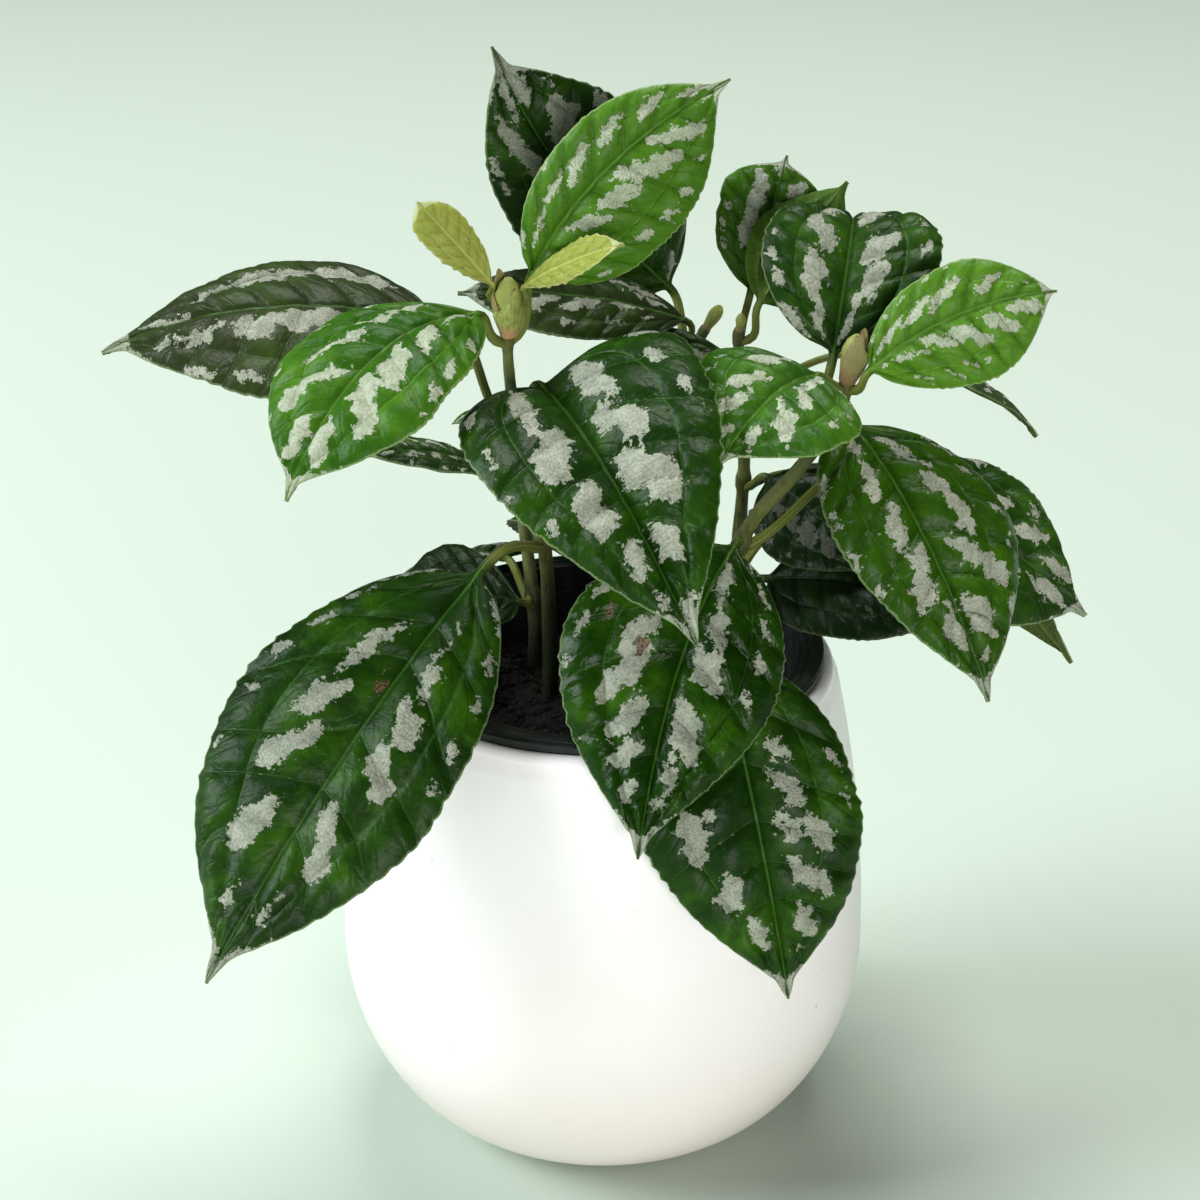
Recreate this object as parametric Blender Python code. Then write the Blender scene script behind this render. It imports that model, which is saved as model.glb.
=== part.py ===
# A potted plant with silver-marked leaves, in a round white pot.
# The sizes are in millimetres and become metres where a mesh is made. Z is up,
# the front is at -Y, and the origin is the middle of the pot's foot.

import math
from collections import namedtuple

import bmesh
import bpy
from mathutils import Vector, noise

MM = 0.001
GAP = 0.3  # kept between pieces that touch

# The white pot: a turned bowl, widest below its middle
POT_HEIGHT = 113.0
POT_RADIUS = 60.5
POT_WIDEST_AT = 43.0
POT_FOOT_RADIUS = 31.0
POT_RIM_RADIUS = 52.0
POT_WALL = 4.4
POT_FLOOR = 6.0
POT_SIDES = 48
BELLY_POWER = 1.85
SHOULDER_POWER = 1.95

# The dark growing pot inside it, hung by its lip on the white pot's rim
LINER_LIP_RADIUS = 49.6
LINER_LIP_HEIGHT = 2.4
LINER_TOP_RADIUS = 46.0
LINER_FLOOR_RADIUS = 34.0
LINER_DEPTH = 92.0
LINER_WALL = 1.2
DRAIN_COUNT = 5
DRAIN_RADIUS = 4.0
DRAIN_CIRCLE = 22.0

# The soil
SOIL_LEVEL = 99.0
SOIL_LUMP = 1.5
SOIL_RINGS = 6
SOIL_SIDES = 30

# Stems
STEM_SIDES = 8
STEM_HOLE_DEPTH = 16.0
NODE_SWELL = 0.28
NODE_REACH = 3.0
BUD_PROFILE = ((0.0, 0.6), (0.3, 0.82), (0.6, 1.0), (0.85, 0.7), (1.0, 0.15))

# Leaves
BLADE_THICKNESS = 0.8
RIB_DEPTH = 0.9
PETIOLE_RADIUS = 0.8  # on the smallest leaf, and more on a wider one
PETIOLE_GROWTH = 0.012
PETIOLE_TILT = 35.0
ACROSS = (-1.0, -0.5, 0.0, 0.5, 1.0)
BODY_END = 0.95
DRIP_WIDTH = 0.17
TIP_HALF_WIDTH = 0.5
TOOTH_DEPTH = 0.035

# Each stem: its route from the bottom of its hole to its tip, the radii at
# both ends, and the length and radius of the bud at its top
Stem = namedtuple("Stem", "route foot_radius top_radius bud_length bud_radius")
STEMS = {
    "stem_left": Stem(
        [
            (-12, 4, 83), (-12, 4, 100), (-12, 3, 114), (-13, 0, 139), (-18, -4, 165), (-20, -7, 183),
            (-20, -9, 192.5),
        ],
        2.0, 1.1, 13.0, 2.9,
    ),
    "stem_right": Stem(
        [
            (24, 1, 83), (24, 1, 100), (25, -1, 112), (30, -12, 146), (41, -17, 164), (48.5, -20, 177),
            (50.5, -22, 187),
        ],
        2.2, 1.3, 10.0, 2.5,
    ),
    "stem_back_right": Stem(
        [(29, 24, 83), (29, 24, 100), (30, 24, 114), (32, 22, 150), (30, 18, 178), (30, 17, 184)],
        2.0, 1.1, 4.0, 1.2,
    ),
    "stem_back": Stem(
        [(6, 30, 83), (6, 30, 100), (7, 30, 114), (14, 30, 155), (21, 26, 177), (23, 24, 182)],
        2.1, 1.2, 8.0, 1.6,
    ),
    "stem_back_left": Stem(
        [(-16, 24, 83), (-16, 24, 100), (-16, 25, 112), (-19, 31, 136), (-22, 34, 156)],
        2.0, 1.1, 6.0, 1.3,
    ),
}

# Each leaf: its stem, the height of its foot there, where the blade starts and
# ends, the width of its left and right half seen from above with the tip away,
# the way its upper side faces, how far the midrib bows up near its base and
# near its tip, how far it swings to its right there, how much both halves fold
# up, how much their edges drop, and its turn in degrees from base to tip. Then
# for both halves: the share of the length at which each is widest, the power
# of its round base, smaller for a blunter one, and of its taper, larger for a
# fuller tip
Leaf = namedtuple("Leaf", "stem node base tip halves faces bow swing fold drop twist widest root taper")


def leaf(
    stem, node, base, tip, halves, faces, bow, swing=(0, 0), fold=0.25, drop=0.35, twist=0,
    widest=(0.42, 0.42), root=(0.7, 0.7), taper=(1.9, 1.9),
):
    ends = (Vector(base), Vector(tip))
    return Leaf(stem, node, *ends, halves, Vector(faces), bow, swing, fold, drop, twist, widest, root, taper)


LEAVES = {
    # The left stem, from its lowest pair up
    "leaf_left_low": leaf(
        "stem_left", 141, (-26, -22, 143), (-81, -80, 77), (23.5, 30), (-0.2, -0.75, 0.6), (10, 8),
        widest=(0.5, 0.5),
    ),
    "leaf_left_side": leaf(
        "stem_left", 169, (-34, 2, 190), (-104, -18, 191), (25, 21.5), (0, -0.4, 1), (10, 12),
        fold=0.0, drop=0.2, widest=(0.4, 0.3), root=(0.7, 0.45), taper=(2.4, 1.9),
    ),
    "leaf_front": leaf(
        "stem_left", 172, (-13, -20, 184), (18, -76, 151), (27.5, 24.5), (0, -0.6, 0.8), (14, 10),
        fold=0.75, drop=0.5, widest=(0.22, 0.32), root=(0.4, 0.5),
    ),
    "leaf_left_bright": leaf(
        "stem_left", 190.5, (-26, -12, 197), (-63, -55, 173), (20, 20), (-0.3, -0.5, 0.8), (14, 10), (3, 3),
        widest=(0.55, 0.55), root=(0.7, 0.5), taper=(2.2, 1.9),
    ),
    "leaf_top_bright": leaf(
        "stem_left", 190.5, (-15, -8, 204), (26, -2, 244), (11, 19), (0.1, -1, 0.3), (7, 3), (-7, -6),
        widest=(0.5, 0.42), root=(0.7, 0.5), taper=(1.9, 3.0),
    ),
    "leaf_young_left": leaf(
        "stem_left", 200, (-23, -11, 203), (-38, -12, 221), (5, 5), (0.2, -1, 0.4), (2, 1),
        widest=(0.72, 0.66), root=(1.0, 1.0), taper=(3.0, 2.6),
    ),
    "leaf_young_right": leaf(
        "stem_left", 200, (-16.5, -12.5, 203), (4, -25, 216), (5, 4), (-0.2, -0.6, 0.7), (2, 2),
        widest=(0.55, 0.60), root=(1.0, 1.0), taper=(2.2, 2.2),
    ),
    # The right stem
    "leaf_right_hanging": leaf(
        "stem_right", 118, (24, -38, 131), (39, -66, 64), (22, 24), (0.1, -1, 0.4), (12, 8), taper=(2.8, 1.9)
    ),
    "leaf_front_low": leaf(
        "stem_right", 145, (28, -22, 149), (7, -68, 99), (21.5, 25), (0, -0.9, 0.5), (9, 6), (6, 4)
    ),
    "leaf_right_back": leaf(
        "stem_right", 145, (60, -4, 159), (104, -22, 133), (23, 24), (0.5, -0.5, 0.8), (6, 5), (2.3, 2.3),
        taper=(2.1, 2.7),
    ),
    "leaf_right_front": leaf(
        "stem_right", 175, (51, -26, 178), (78, -60, 131), (22, 17.5), (0.4, -0.8, 0.5), (9, 6),
        widest=(0.48, 0.36), root=(0.7, 0.5),
    ),
    "leaf_right_up": leaf(
        "stem_right", 175, (48, -14, 189), (54, 21, 207), (18, 19), (0, -1, 0.9), (12, 19), fold=0.5,
        taper=(2.3, 3.2),
    ),
    "leaf_right_bright": leaf(
        "stem_right", 185, (54.3, -26.3, 189.5), (92, -24, 206), (10.5, 14.5), (0.1, -1, 0.5), (3, 3),
        (-4.4, -4.4), widest=(0.55, 0.55), taper=(1.9, 2.6),
    ),
    "leaf_right_small": leaf(
        "stem_right", 185, (44, -26, 188.5), (23, -48, 178), (18.5, 19), (-0.2, -0.6, 0.8), (8, 7),
        widest=(0.38, 0.38), root=(0.7, 0.5), taper=(2.6, 1.9),
    ),
    # The stem behind them on the right
    "leaf_upper_back": leaf(
        "stem_back_right", 182, (33, 29, 189), (40, 28, 220), (12, 11), (-0.2, -1, 0.2), (3, 2),
        widest=(0.6, 0.6), taper=(3.5, 3.5),
    ),
    "leaf_upper_curled": leaf(
        "stem_back_right", 182, (34, 14, 191), (53, 21, 216), (11, 10), (0.2, 1, 0.4), (3, 3), twist=50
    ),
    "leaf_centre_dark": leaf(
        "stem_back_right", 166, (29.5, 11, 178), (2, -4, 168), (17, 17), (0, -0.7, 0.7), (4, 4)
    ),
    "leaf_right_far": leaf(
        "stem_back_right", 166, (66, 25, 175), (98, 20, 158), (14, 14), (0.3, 0.3, 1), (4, 4)
    ),
    "leaf_inner_right": leaf(
        "stem_back_right", 146, (37, 14, 150), (60, -6, 135), (15, 14), (0.1, -0.7, 0.7), (4, 3)
    ),
    "leaf_right_under": leaf(
        "stem_back_right", 146, (74, 12, 139), (106, 0, 111), (12, 12), (0.6, 0.6, 0.6), (3, 3)
    ),
    "leaf_right_shaded": leaf(
        "stem_back_right", 124, (37, 8, 128), (83, -15, 129.5), (21, 16), (0.1, -0.5, 1), (5, 4),
        root=(0.5, 0.5),
    ),
    "leaf_rear_right": leaf(
        "stem_back_right", 124, (40, 34, 128), (72, 66, 104), (21, 21), (0.5, 0.5, 0.8), (9, 7)
    ),
    # The stem behind in the middle
    "leaf_back_top": leaf(
        "stem_back", 175, (15, 34, 188), (-23, 9, 248), (16, 21), (0, -1, 0.5), (4, 4), (-4, -7),
        taper=(2.6, 2.6),
    ),
    "leaf_back_across": leaf(
        "stem_back", 175, (18, 17, 186), (-31, 3, 197), (11, 9), (0, -0.6, 1), (5, 4),
        widest=(0.5, 0.42), root=(1.0, 0.7), taper=(2.8, 2.8),
    ),
    "leaf_rear_high": leaf("stem_back", 152, (16, 40, 157), (30, 88, 135), (21, 21), (0.1, 0.5, 1), (9, 7)),
    "leaf_inner_front": leaf("stem_back", 152, (11, 20, 153), (2, -6, 144), (11, 11), (0, -0.6, 1), (4, 4)),
    "leaf_rear_low": leaf("stem_back", 120, (4, 43, 126), (-8, 90, 95), (23, 23), (0, 0.7, 1), (10, 8)),
    # The stem behind on the left
    "leaf_left_far": leaf(
        "stem_back_left", 148, (-25, 22, 149), (-54, -2, 162), (9, 12), (-0.2, -0.3, 1), (3, 3)
    ),
    "leaf_left_shaded": leaf(
        "stem_back_left", 115, (-19, 15, 119), (-49, 8, 121), (12, 18), (-0.1, -0.3, 1), (4, 5),
        fold=0.1, drop=0.1,
    ),
    "leaf_rear_small": leaf(
        "stem_back_left", 154, (-15, 36, 158.5), (2, 43, 154), (9, 9), (-0.3, -0.2, 1), (4, 3)
    ),
    "leaf_rear_left": leaf(
        "stem_back_left", 148, (-22, 42, 153), (-14, 88, 134), (17, 17), (-0.2, 0.5, 1), (8, 6)
    ),
    "leaf_rear_left_low": leaf(
        "stem_back_left", 115, (-23, 38, 120), (-46, 80, 92), (17, 17), (-0.3, 0.5, 0.9), (6, 6)
    ),
}


def smooth_route(points, share):
    # A point on the smooth curve through the points, share 0 to 1 along it
    place = share * (len(points) - 1)
    step = min(int(place), len(points) - 2)
    u = place - step
    a, b, c, d = [Vector(points[max(0, min(len(points) - 1, step + k))]) for k in (-1, 0, 1, 2)]
    bend = (2 * a - 5 * b + 4 * c - d) * u * u + (3 * b - a - 3 * c + d) * u ** 3
    return (2 * b + (c - a) * u + bend) / 2


def bezier(a, b, c, d, u):
    v = 1 - u
    return a * v ** 3 + b * (3 * v * v * u) + c * (3 * v * u * u) + d * u ** 3


def bud_heading(stem):
    return (Vector(stem.route[-1]) - smooth_route(stem.route, 0.96)).normalized()


def stem_point(stem, height):
    # The middle of the stem, or of its bud, at a height
    top = Vector(stem.route[-1])
    if height > top.z:
        heading = bud_heading(stem)
        return top + heading * (height - top.z) / heading.z
    low, high = 0.0, 1.0
    for _ in range(30):
        middle = (low + high) / 2
        if smooth_route(stem.route, middle).z < height:
            low = middle
        else:
            high = middle
    return smooth_route(stem.route, low)


def node_heights(name):
    return sorted({spec.node for spec in LEAVES.values() if spec.stem == name})


def stem_radius(name, height):
    # The stem's radius at a height, with its nodes and the bud above it
    stem = STEMS[name]
    low, top = stem.route[0][2], stem.route[-1][2]
    if height > top:
        place = (height - top) / (stem.bud_length * bud_heading(stem).z)
        for (start, wide), (end, narrow) in zip(BUD_PROFILE, BUD_PROFILE[1:]):
            if place <= end:
                return stem.bud_radius * (wide + (narrow - wide) * (place - start) / (end - start))
        return 0.0
    radius = stem.foot_radius + (stem.top_radius - stem.foot_radius) * (height - low) / (top - low)
    near = min(abs(height - node) for node in node_heights(name))
    return radius * (1 + NODE_SWELL * max(0.0, 1 - near / NODE_REACH))


def half_width(t, widest, root, taper):
    # The blade's outline as a share of its greatest half width: a round base,
    # the widest point before the middle, and a taper into a drip tip
    if t < widest:
        return (1 - ((widest - t) / widest) ** 2.3) ** root
    body = max(0.0, 1 - ((t - widest) / (BODY_END - widest)) ** taper)
    drip = DRIP_WIDTH * min(1.0, (1 - t) / 0.16) ** 0.75
    return (body ** 3 + drip ** 3) ** (1 / 3)


def blade_stations(teeth):
    # Shares along the blade, with the tooth each one stands on: 1 at a tooth's
    # point, -1 in the notch after it
    stations = [(0.0, 0.0), (0.03, 0.0), (0.09, 0.0)]
    first, last = 0.14, 0.93
    pitch = (last - first) / teeth
    for k in range(teeth):
        stations.append((first + pitch * (k + 0.72), 1.0))
        stations.append((first + pitch * (k + 1.0), -1.0))
    stations.append((0.968, 0.0))
    stations.append((1.0, 0.0))
    return stations


class LeafShape:
    # Where each point of a leaf lies, from its stem to its tip

    def __init__(self, spec):
        self.spec = spec
        stem = STEMS[spec.stem]
        self.chord = spec.tip - spec.base
        along = self.chord.normalized()
        self.side = along.cross(spec.faces).normalized()
        self.face = self.side.cross(along)
        third = self.chord / 3
        push = [self.face * spec.bow[k] + self.side * spec.swing[k] for k in (0, 1)]
        self.blade = (spec.base, spec.base + third + push[0], spec.base + 2 * third + push[1], spec.tip)
        node = stem_point(stem, spec.node)
        self.thickness = PETIOLE_RADIUS + PETIOLE_GROWTH * sum(spec.halves)
        axis = (stem_point(stem, spec.node + 1) - stem_point(stem, spec.node - 1)).normalized()
        out = spec.base - node
        out = (out - axis * out.dot(axis)).normalized()
        tilt = math.radians(PETIOLE_TILT)
        foot = node + out * (stem_radius(spec.stem, spec.node) + GAP + self.thickness * math.sin(tilt))
        out = out * math.cos(tilt) + axis * math.sin(tilt)
        reach = (spec.base - foot).length
        start = (self.blade[1] - self.blade[0]).normalized()
        self.petiole = (foot, foot + out * reach * 0.4, spec.base - start * reach * 0.4, spec.base)

    def frame(self, path, u, twist):
        point = bezier(*path, u)
        ahead = (bezier(*path, min(1, u + 0.01)) - bezier(*path, max(0, u - 0.01))).normalized()
        side = (self.side - ahead * self.side.dot(ahead)).normalized()
        up = side.cross(ahead)
        turn = math.radians(twist)
        return point, side * math.cos(turn) + up * math.sin(turn), up * math.cos(turn) - side * math.sin(turn)

    def petiole_ring(self, u):
        point, side, up = self.frame(self.petiole, u, 0)
        count = len(ACROSS)
        spread = math.radians(170)
        ring = []
        for k in range(2 * count):
            row, turn = divmod(k, count)
            angle = math.radians(90) + spread / 2 - spread * turn / (count - 1)
            if row:
                angle = -math.radians(90) + spread / 2 - spread * turn / (count - 1)
            ring.append(point + (side * math.cos(angle) + up * math.sin(angle)) * self.thickness)
        return ring

    def blade_point(self, t, q, lift, tooth=0.0):
        spec = self.spec
        point, side, up = self.frame(self.blade, t, spec.twist * t)
        right = q > 0
        notch = tooth * TOOTH_DEPTH * min(1, 3 * (1 - t))
        share = half_width(t, spec.widest[right], spec.root[right], spec.taper[right])
        reach = max(TIP_HALF_WIDTH, (share + notch) * spec.halves[right])
        rise = (spec.fold * abs(q) - spec.drop * q * q) * reach
        return point + side * q * reach + up * (rise + lift)

    def blade_ring(self, t, tooth):
        half = BLADE_THICKNESS / 2
        rib = RIB_DEPTH * (1 - t) ** 0.5
        top = [self.blade_point(t, q, half, tooth) for q in ACROSS]
        under = [self.blade_point(t, q, -half - rib * (q == 0), tooth) for q in reversed(ACROSS)]
        return top + under


def mesh_object(name, points, faces, material):
    mesh = bpy.data.meshes.new(name)
    mesh.from_pydata([tuple(p * MM) for p in points], [], faces)
    work = bmesh.new()
    work.from_mesh(mesh)
    bmesh.ops.recalc_face_normals(work, faces=work.faces)
    work.to_mesh(mesh)
    work.free()
    mesh.materials.append(material)
    mesh.shade_smooth()
    mesh.set_sharp_from_angle(angle=math.radians(50))
    made = bpy.data.objects.new(name, mesh)
    bpy.context.scene.collection.objects.link(made)
    return made


def paint(name, colour, roughness, metallic=0.0):
    material = bpy.data.materials.new(name)
    material.use_nodes = True
    shader = material.node_tree.nodes["Principled BSDF"]
    shader.inputs["Base Color"].default_value = (*colour, 1)
    shader.inputs["Roughness"].default_value = roughness
    shader.inputs["Metallic"].default_value = metallic
    return material


def loft(rings):
    # The faces of a closed skin over rings of equal count. The diagonals of
    # the upper and the lower face of a blade run alike, so they never cross.
    count = len(rings[0])
    faces = []
    for k in range(len(rings) - 1):
        here, there = k * count, (k + 1) * count
        for i in range(count):
            j = (i + 1) % count
            if i < count // 2:
                faces.append((here + i, here + j, there + j))
                faces.append((here + i, there + j, there + i))
            else:
                faces.append((here + i, here + j, there + i))
                faces.append((here + j, there + j, there + i))
    last = (len(rings) - 1) * count
    faces += cap(0, count)
    faces += [tuple(reversed(f)) for f in cap(last, count)]
    return [p for ring in rings for p in ring], faces


def cap(start, count):
    # Closes a ring by a strip of triangles between its upper and lower row
    faces = []
    half = count // 2
    for i in range(half - 1):
        low = count - 1 - i
        faces.append((start + i, start + low, start + i + 1))
        faces.append((start + i + 1, start + low, start + low - 1))
    return faces


def make_leaf(name, spec, material):
    shape = LeafShape(spec)
    width = sum(spec.halves)
    teeth = 6 if width > 40 else 5 if width > 24 else 3
    rings = [shape.petiole_ring(u) for u in (0.0, 0.33, 0.66)]
    stations = blade_stations(teeth)
    rings.append(shape.petiole_ring(1.0))
    rings += [shape.blade_ring(t, tooth) for t, tooth in stations[1:]]
    points, faces = loft(rings)
    return mesh_object(name, points, faces, material)


def make_stem(name, stem, material):
    # A tube that swells at each leaf pair and ends in a pointed bud
    low, top = stem.route[0][2], stem.route[-1][2]
    heading = bud_heading(stem)
    heights = {low + (top - low) * k / 6 for k in range(7)}
    for node in node_heights(name):
        heights = {h for h in heights if abs(h - node) > 1.5 * NODE_REACH or h in (low, top)}
        heights |= {h for h in (node - NODE_REACH, node, node + NODE_REACH) if h < top - 0.5}
    rings = []
    for height in sorted(heights):
        ahead = stem_point(stem, height + 1) - stem_point(stem, height - 1)
        rings.append(round_ring(stem_point(stem, height), ahead, stem_radius(name, height)))
    for share, radius in BUD_PROFILE:
        middle = Vector(stem.route[-1]) + heading * max(0.2, stem.bud_length * share)
        rings.append(round_ring(middle, heading, stem.bud_radius * radius))
    count = STEM_SIDES
    points = [p for ring in rings for p in ring]
    faces = [tuple(range(count)), tuple(reversed(range(len(points) - count, len(points))))]
    for k in range(len(rings) - 1):
        for i in range(count):
            j = (i + 1) % count
            faces.append((k * count + i, k * count + j, (k + 1) * count + j, (k + 1) * count + i))
    return mesh_object(name, points, faces, material)


def round_ring(middle, heading, radius):
    side = Vector((1, 0, 0)) - heading.normalized() * heading.normalized().x
    side.normalize()
    other = heading.normalized().cross(side)
    turns = [2 * math.pi * k / STEM_SIDES for k in range(STEM_SIDES)]
    return [middle + (side * math.cos(a) + other * math.sin(a)) * radius for a in turns]


def turned(name, profile, sides, material):
    # A round body from its profile, which runs up the inside, over the lip and
    # down the outside, from the axis to the axis
    mesh = bpy.data.meshes.new(name)
    points = [(r * MM, 0, z * MM) for r, z in profile]
    mesh.from_pydata(points, [(k, k + 1) for k in range(len(points) - 1)], [])
    mesh.materials.append(material)
    made = bpy.data.objects.new(name, mesh)
    bpy.context.scene.collection.objects.link(made)
    screw = made.modifiers.new("turned", "SCREW")
    screw.steps = sides
    screw.render_steps = sides
    screw.use_merge_vertices = True
    screw.merge_threshold = 0.00001
    screw.use_smooth_shade = True
    return made


def pot_radius(z):
    if z <= POT_WIDEST_AT:
        drop = (POT_WIDEST_AT - z) / POT_WIDEST_AT
        swell = (1 - drop ** BELLY_POWER) ** (1 / BELLY_POWER)
        return POT_FOOT_RADIUS + (POT_RADIUS - POT_FOOT_RADIUS) * swell
    rise = (z - POT_WIDEST_AT) / (POT_HEIGHT - POT_WIDEST_AT)
    return POT_RADIUS - (POT_RADIUS - POT_RIM_RADIUS) * rise ** SHOULDER_POWER


def make_pot(material):
    lip = POT_WALL / 2
    heights = [POT_FLOOR + 8, 24, 34, 50, 70, 92, POT_HEIGHT - 6]
    profile = [(0, POT_FLOOR), (pot_radius(POT_FLOOR) - POT_WALL, POT_FLOOR)]
    profile += [(pot_radius(z) - POT_WALL, z) for z in heights]
    middle = pot_radius(POT_HEIGHT) - lip
    for angle in (180, 140, 100, 70, 35, 0):
        turn = math.radians(angle)
        profile.append((middle + lip * math.cos(turn), POT_HEIGHT - lip + lip * math.sin(turn)))
    profile += [(pot_radius(z), z) for z in (98, 80, 62, 46, 34, 23, 13, 6, 2)]
    profile += [(POT_FOOT_RADIUS, 0), (0, 0)]
    return turned("pot", profile, POT_SIDES, material)


def make_liner(material):
    under_lip = POT_HEIGHT + GAP
    top = under_lip + LINER_LIP_HEIGHT
    floor = top - LINER_DEPTH
    inner_top = LINER_TOP_RADIUS - LINER_WALL
    inner_floor = LINER_FLOOR_RADIUS - LINER_WALL
    profile = [(0, floor + LINER_WALL), (inner_floor, floor + LINER_WALL), (inner_top, top - 0.6)]
    profile += [(inner_top + 0.6, top), (LINER_LIP_RADIUS - 0.8, top), (LINER_LIP_RADIUS, top - 0.9)]
    profile += [(LINER_LIP_RADIUS, under_lip), (LINER_TOP_RADIUS, under_lip)]
    profile += [(LINER_FLOOR_RADIUS, floor), (0, floor)]
    liner = turned("growing_pot", profile, POT_SIDES, material)
    for k in range(DRAIN_COUNT):
        turn = 2 * math.pi * k / DRAIN_COUNT
        middle = (DRAIN_CIRCLE * math.cos(turn), DRAIN_CIRCLE * math.sin(turn), floor)
        drill(liner, middle, DRAIN_RADIUS, 8.0, 12)
    return liner


def drill(body, middle, radius, depth, sides):
    work = bmesh.new()
    bmesh.ops.create_cone(
        work, cap_ends=True, segments=sides, radius1=radius * MM, radius2=radius * MM, depth=depth * MM
    )
    mesh = bpy.data.meshes.new("drill")
    work.to_mesh(mesh)
    work.free()
    cutter = bpy.data.objects.new("drill", mesh)
    cutter.location = Vector(middle) * MM
    cutter.hide_render = True
    cutter.display_type = "WIRE"
    bpy.context.scene.collection.objects.link(cutter)
    cut = body.modifiers.new("hole", "BOOLEAN")
    cut.operation = "DIFFERENCE"
    cut.object = cutter


def liner_inside(z):
    # The inner radius of the growing pot at a height
    top = POT_HEIGHT + GAP + LINER_LIP_HEIGHT
    share = (z - (top - LINER_DEPTH)) / LINER_DEPTH
    return LINER_FLOOR_RADIUS + (LINER_TOP_RADIUS - LINER_FLOOR_RADIUS) * share - LINER_WALL


def make_soil(material):
    # A plug of soil with a lumpy top, and a plain hole for each stem
    bottom = POT_HEIGHT + GAP + LINER_LIP_HEIGHT - LINER_DEPTH + LINER_WALL + GAP
    points = [Vector((0, 0, bottom))]
    foot, edge = (liner_inside(z) - GAP - 0.2 for z in (bottom, SOIL_LEVEL))
    rings = [(foot, bottom, False), (edge, SOIL_LEVEL, False)]
    rings += [(edge * (1 - k / SOIL_RINGS), SOIL_LEVEL, True) for k in range(1, SOIL_RINGS)]
    for radius, z, lumpy in rings:
        for i in range(SOIL_SIDES):
            turn = 2 * math.pi * i / SOIL_SIDES
            place = Vector((radius * math.cos(turn), radius * math.sin(turn), z))
            if lumpy:
                place.z += SOIL_LUMP * noise.noise(place * 0.11) + SOIL_LUMP * 0.6 * noise.noise(place * 0.31)
            points.append(place)
    points.append(Vector((0, 0, SOIL_LEVEL)))
    faces = []
    for i in range(SOIL_SIDES):
        j = (i + 1) % SOIL_SIDES
        faces.append((0, 1 + j, 1 + i))
        for k in range(len(rings) - 1):
            here, there = 1 + k * SOIL_SIDES, 1 + (k + 1) * SOIL_SIDES
            faces.append((here + i, here + j, there + j))
            faces.append((here + i, there + j, there + i))
        last = 1 + (len(rings) - 1) * SOIL_SIDES
        faces.append((last + i, last + j, len(points) - 1))
    soil = mesh_object("soil", points, faces, material)
    for stem in STEMS.values():
        foot = Vector(stem.route[0])
        depth = 2 * STEM_HOLE_DEPTH + 10
        drill(soil, (foot.x, foot.y, foot.z - GAP + depth / 2), stem.foot_radius + 0.9, depth, 12)
    return soil


def main():
    for old in list(bpy.data.objects):
        bpy.data.objects.remove(old)
    ceramic = paint("white_ceramic", (0.88, 0.87, 0.85), 0.28)
    plastic = paint("dark_plastic", (0.02, 0.03, 0.025), 0.4)
    earth = paint("soil", (0.035, 0.025, 0.018), 0.95)
    bark = paint("stem_green", (0.16, 0.17, 0.04), 0.5)
    dark = paint("leaf_dark", (0.02, 0.09, 0.02), 0.35)
    bright = paint("leaf_bright", (0.07, 0.24, 0.02), 0.35)
    young = paint("leaf_young", (0.42, 0.45, 0.10), 0.4)
    make_pot(ceramic)
    make_liner(plastic)
    make_soil(earth)
    for name, stem in STEMS.items():
        make_stem(name, stem, bark)
    for name, spec in LEAVES.items():
        green = young if "young" in name else bright if "bright" in name or "right_small" in name else dark
        make_leaf(name, spec, green)


main()
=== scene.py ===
# A potted plant with silver-marked leaves in a round white pot
import math

import bpy
import numpy as np
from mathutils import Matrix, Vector


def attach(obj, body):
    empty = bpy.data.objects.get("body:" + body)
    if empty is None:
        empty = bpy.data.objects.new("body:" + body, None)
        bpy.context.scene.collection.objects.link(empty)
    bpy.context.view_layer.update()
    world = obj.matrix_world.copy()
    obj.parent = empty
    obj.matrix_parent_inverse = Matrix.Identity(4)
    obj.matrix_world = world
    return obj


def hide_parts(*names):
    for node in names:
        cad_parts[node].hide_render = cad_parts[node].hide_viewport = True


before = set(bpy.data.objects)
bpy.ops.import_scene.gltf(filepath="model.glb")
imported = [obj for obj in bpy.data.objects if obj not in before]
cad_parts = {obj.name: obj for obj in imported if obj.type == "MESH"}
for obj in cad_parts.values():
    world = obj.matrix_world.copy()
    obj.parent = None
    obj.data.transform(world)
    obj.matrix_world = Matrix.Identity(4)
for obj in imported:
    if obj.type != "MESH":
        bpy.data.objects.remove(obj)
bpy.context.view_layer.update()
mm = 0.001
print("frame loaded:", len(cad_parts), "solids")


# Materials

class Wire:
    # A socket of a material, so that sums on it add Math nodes
    def __init__(self, finish, socket):
        self.finish = finish
        self.socket = socket

    def sum(self, operation, *others):
        inputs = dict(enumerate((self, *others)))
        return self.finish.node("ShaderNodeMath", {"operation": operation}, inputs)

    def __add__(self, other):
        return self.sum("ADD", other)

    def __sub__(self, other):
        return self.sum("SUBTRACT", other)

    def __rsub__(self, other):
        return self.finish.node("ShaderNodeMath", {"operation": "SUBTRACT"}, {0: other, 1: self})

    def __mul__(self, other):
        return self.sum("MULTIPLY", other)

    def __abs__(self):
        return self.sum("ABSOLUTE")

    __radd__ = __add__
    __rmul__ = __mul__


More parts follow.
